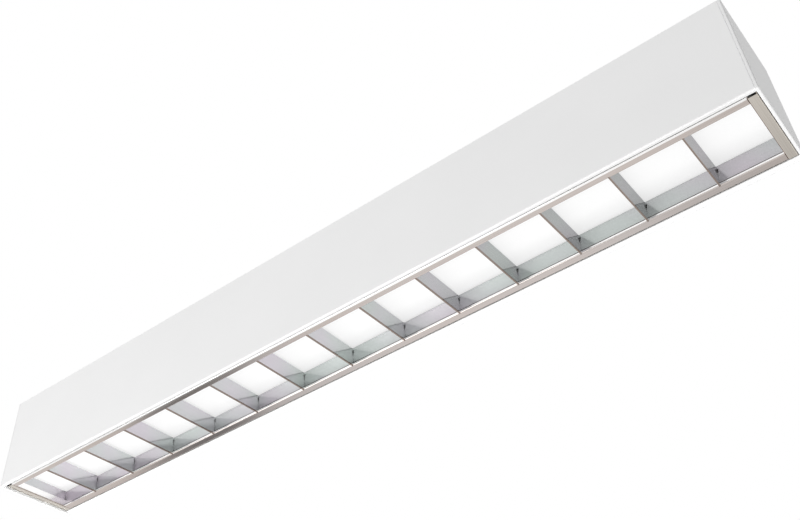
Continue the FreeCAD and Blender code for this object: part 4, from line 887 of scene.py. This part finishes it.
def make_blade_tree(finish):
    """All blades: the V between the reflectors, thickened inwards, with its tabs, set out along the louvre."""
    tree, size, result = new_tree("blade_row", [
        ("Count", "NodeSocketInt"), ("Pitch", "NodeSocketFloat"), ("Bottom", "NodeSocketFloat"),
        ("Top", "NodeSocketFloat"), ("Fold Half", "NodeSocketFloat"), ("Top Half", "NodeSocketFloat"),
        ("Sheet", "NodeSocketFloat"), ("Foot", "NodeSocketFloat"), ("Foot Z", "NodeSocketFloat"),
        ("Lean", "NodeSocketFloat"), ("Tab Low", "NodeSocketFloat"), ("Tab High", "NodeSocketFloat"),
        ("Tab End", "NodeSocketFloat")])
    grid = put(tree, "GeometryNodeMeshGrid", {"Size X": 2.0, "Size Y": 2.0, "Vertices X": 5, "Vertices Y": 3})
    here = put(tree, "ShaderNodeSeparateXYZ", {0: put(tree, "GeometryNodeInputPosition").outputs[0]}).outputs
    across = work(tree, "ABSOLUTE", here[0])
    rise = put(tree, "ShaderNodeMapRange", {"Value": across, "From Min": FOLD_SHARE}).outputs[0]
    fold = put(tree, "ShaderNodeMapRange", {"Value": across, "From Max": FOLD_SHARE}).outputs[0]
    spread = work(tree, "MULTIPLY", rise, work(tree, "SUBTRACT", size["Top Half"], size["Fold Half"]))
    half = work(tree, "ADD", work(tree, "MULTIPLY", fold, size["Fold Half"]), spread)
    height = put(tree, "ShaderNodeMapRange", {"Value": rise, "To Min": size["Bottom"],
                                              "To Max": size["Top"]}).outputs[0]
    lean = put(tree, "ShaderNodeMapRange", {"Value": height, "From Min": size["Foot Z"],
                                            "From Max": size["Top"]}).outputs[0]
    face = work(tree, "SUBTRACT", size["Foot"], work(tree, "MULTIPLY", lean, size["Lean"]))
    place = put(tree, "ShaderNodeCombineXYZ", {0: work(tree, "MULTIPLY", work(tree, "SIGN", here[0]), half),
                                               1: work(tree, "MULTIPLY", here[1], face), 2: height})
    sheet = put(tree, "GeometryNodeSetPosition", {"Geometry": grid.outputs["Mesh"], "Position": place.outputs[0]})
    inner = put(tree, "GeometryNodeExtrudeMesh", {"Mesh": sheet.outputs[0], "Individual": False,
                                                  "Offset Scale": work(tree, "MULTIPLY", size["Sheet"], -1.0)})
    turned = put(tree, "GeometryNodeFlipFaces", {"Mesh": inner.outputs["Mesh"]})
    closed = put(tree, "GeometryNodeMergeByDistance", {"Geometry": join(tree, sheet.outputs[0], turned.outputs[0]),
                                                       "Distance": SEAM})
    whole = join(tree, closed.outputs[0], blade_tabs(tree, size))
    blade = put(tree, "GeometryNodeSetShadeSmooth", {"Geometry": whole, "Shade Smooth": True})
    half_row = work(tree, "MULTIPLY", work(tree, "SUBTRACT", size["Count"], 1.0), 0.5)
    start = put(tree, "ShaderNodeCombineXYZ", {0: work(tree, "MULTIPLY", half_row,
                                                       work(tree, "MULTIPLY", size["Pitch"], -1.0))})
    row = row_along_x(tree, size["Count"], start.outputs[0], size["Pitch"])
    tree.links.new(set_out(tree, row, blade.outputs[0], finish), result.inputs[0])
    return tree


def blade_tabs(tree, size):
    """Four small leaves, one for each flank at each end, that go through the reflectors' slots."""
    middle = work(tree, "MULTIPLY", work(tree, "ADD", size["Tab Low"], size["Tab High"]), 0.5)
    outside = put(tree, "ShaderNodeMapRange", {"Value": middle, "From Min": size["Bottom"], "From Max": size["Top"],
                                               "To Min": size["Fold Half"], "To Max": size["Top Half"]}).outputs[0]
    flank = work(tree, "SUBTRACT", outside, work(tree, "MULTIPLY", size["Sheet"], 0.5))
    start = work(tree, "SUBTRACT", size["Foot"], size["Lean"])
    leaf_size = put(tree, "ShaderNodeCombineXYZ", {0: size["Sheet"],
                                                   1: work(tree, "SUBTRACT", size["Tab End"], start),
                                                   2: work(tree, "SUBTRACT", size["Tab High"], size["Tab Low"])})
    leaf = put(tree, "GeometryNodeMeshCube", {"Size": leaf_size.outputs[0]})
    corners = put(tree, "GeometryNodeMeshGrid", {"Size X": work(tree, "MULTIPLY", flank, 2.0),
                                                 "Size Y": work(tree, "ADD", size["Tab End"], start),
                                                 "Vertices X": 2, "Vertices Y": 2})
    lift = put(tree, "ShaderNodeCombineXYZ", {2: middle})
    lifted = put(tree, "GeometryNodeSetPosition", {"Geometry": corners.outputs["Mesh"], "Offset": lift.outputs[0]})
    leaves = put(tree, "GeometryNodeInstanceOnPoints", {"Points": lifted.outputs[0],
                                                        "Instance": leaf.outputs["Mesh"]})
    return put(tree, "GeometryNodeRealizeInstances", {"Geometry": leaves.outputs[0]}).outputs[0]


blade_finish = bright_sheet("bright_blade", BLADE_LAVENDER, BLADE_GREEN, (700.0, 5.0, 700.0), BLADE_TINTS)
blade_low, blade_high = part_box("cross_blade_07")
last_blade_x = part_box("cross_blade_13")[1].x
# Painted light and shade: the blades are lighter than their colour at the left and darker towards the right-hand end.
shade_along_length(blade_finish, BLADE_SHADE_FROM, last_blade_x, BLADE_SHADE_LEFT, BLADE_SHADE_RIGHT)
blade_shader = blade_finish.node_tree
blade_fold = work(blade_shader, "LESS_THAN", object_place(blade_shader)[2], blade_low.z + FOLD_HEIGHT)
tone_where(blade_finish, blade_fold, FOLD_TAN)
blade_sizes = {"Count": BLADE_COUNT, "Pitch": BLADE_PITCH, "Bottom": blade_low.z, "Top": blade_high.z,
               "Fold Half": BLADE_FOLD_HALF, "Top Half": BLADE_TOP_HALF, "Sheet": BLADE_SHEET,
               "Foot": side_foot - CELL_CLEARANCE, "Foot Z": side_low.z, "Lean": REFLECTOR_LEAN,
               "Tab Low": BLADE_TAB_LOW, "Tab High": BLADE_TAB_HIGH, "Tab End": blade_high.y}
grow("blade_row", make_blade_tree(blade_finish), blade_sizes, "louver",
     ["cross_blade_%02d" % (i + 1) for i in range(BLADE_COUNT)])


# Gussets and cleats: small mill-finish angles that tie the corners of the reflectors and rails,
# with domed aluminium rivets through both.
MILL_GREY = (0.56, 0.56, 0.57, 1.0)
MILL_PALE = (0.62, 0.62, 0.62, 1.0)
dress(rolled("mill_aluminium", MILL_GREY, MILL_PALE, (400.0, 30.0, 400.0), 0.40),
      "corner_gussets", "rail_cleats", "louver_rivets")


# Hinge pins: bright turned steel, which turn in the end caps at the back.
# Catches: a small black moulding in the front end of each end rail, with a blackened bolt that slides into the cap.
PIN_STEEL = (0.52, 0.52, 0.53, 1.0)
PIN_STEEL_PALE = (0.58, 0.58, 0.58, 1.0)
BOLT_BLACK = (0.05, 0.05, 0.052, 1.0)
BOLT_BLACK_PALE = (0.07, 0.07, 0.07, 1.0)
TURNED_STREAKS = (30.0, 900.0, 900.0)
CATCH_BLACK = (0.03, 0.03, 0.032, 1.0)
dress(rolled("bright_pin", PIN_STEEL, PIN_STEEL_PALE, TURNED_STREAKS, 0.28), "hinge_pin_left", "hinge_pin_right")
dress(rolled("blackened_bolt", BOLT_BLACK, BOLT_BLACK_PALE, TURNED_STREAKS, 0.40),
      "catch_bolt_left", "catch_bolt_right")
dress(coat("black_catch", CATCH_BLACK, 0.45, peel_per_metre=1800.0, drift=0.1),
      "catch_block_left", "catch_block_right")
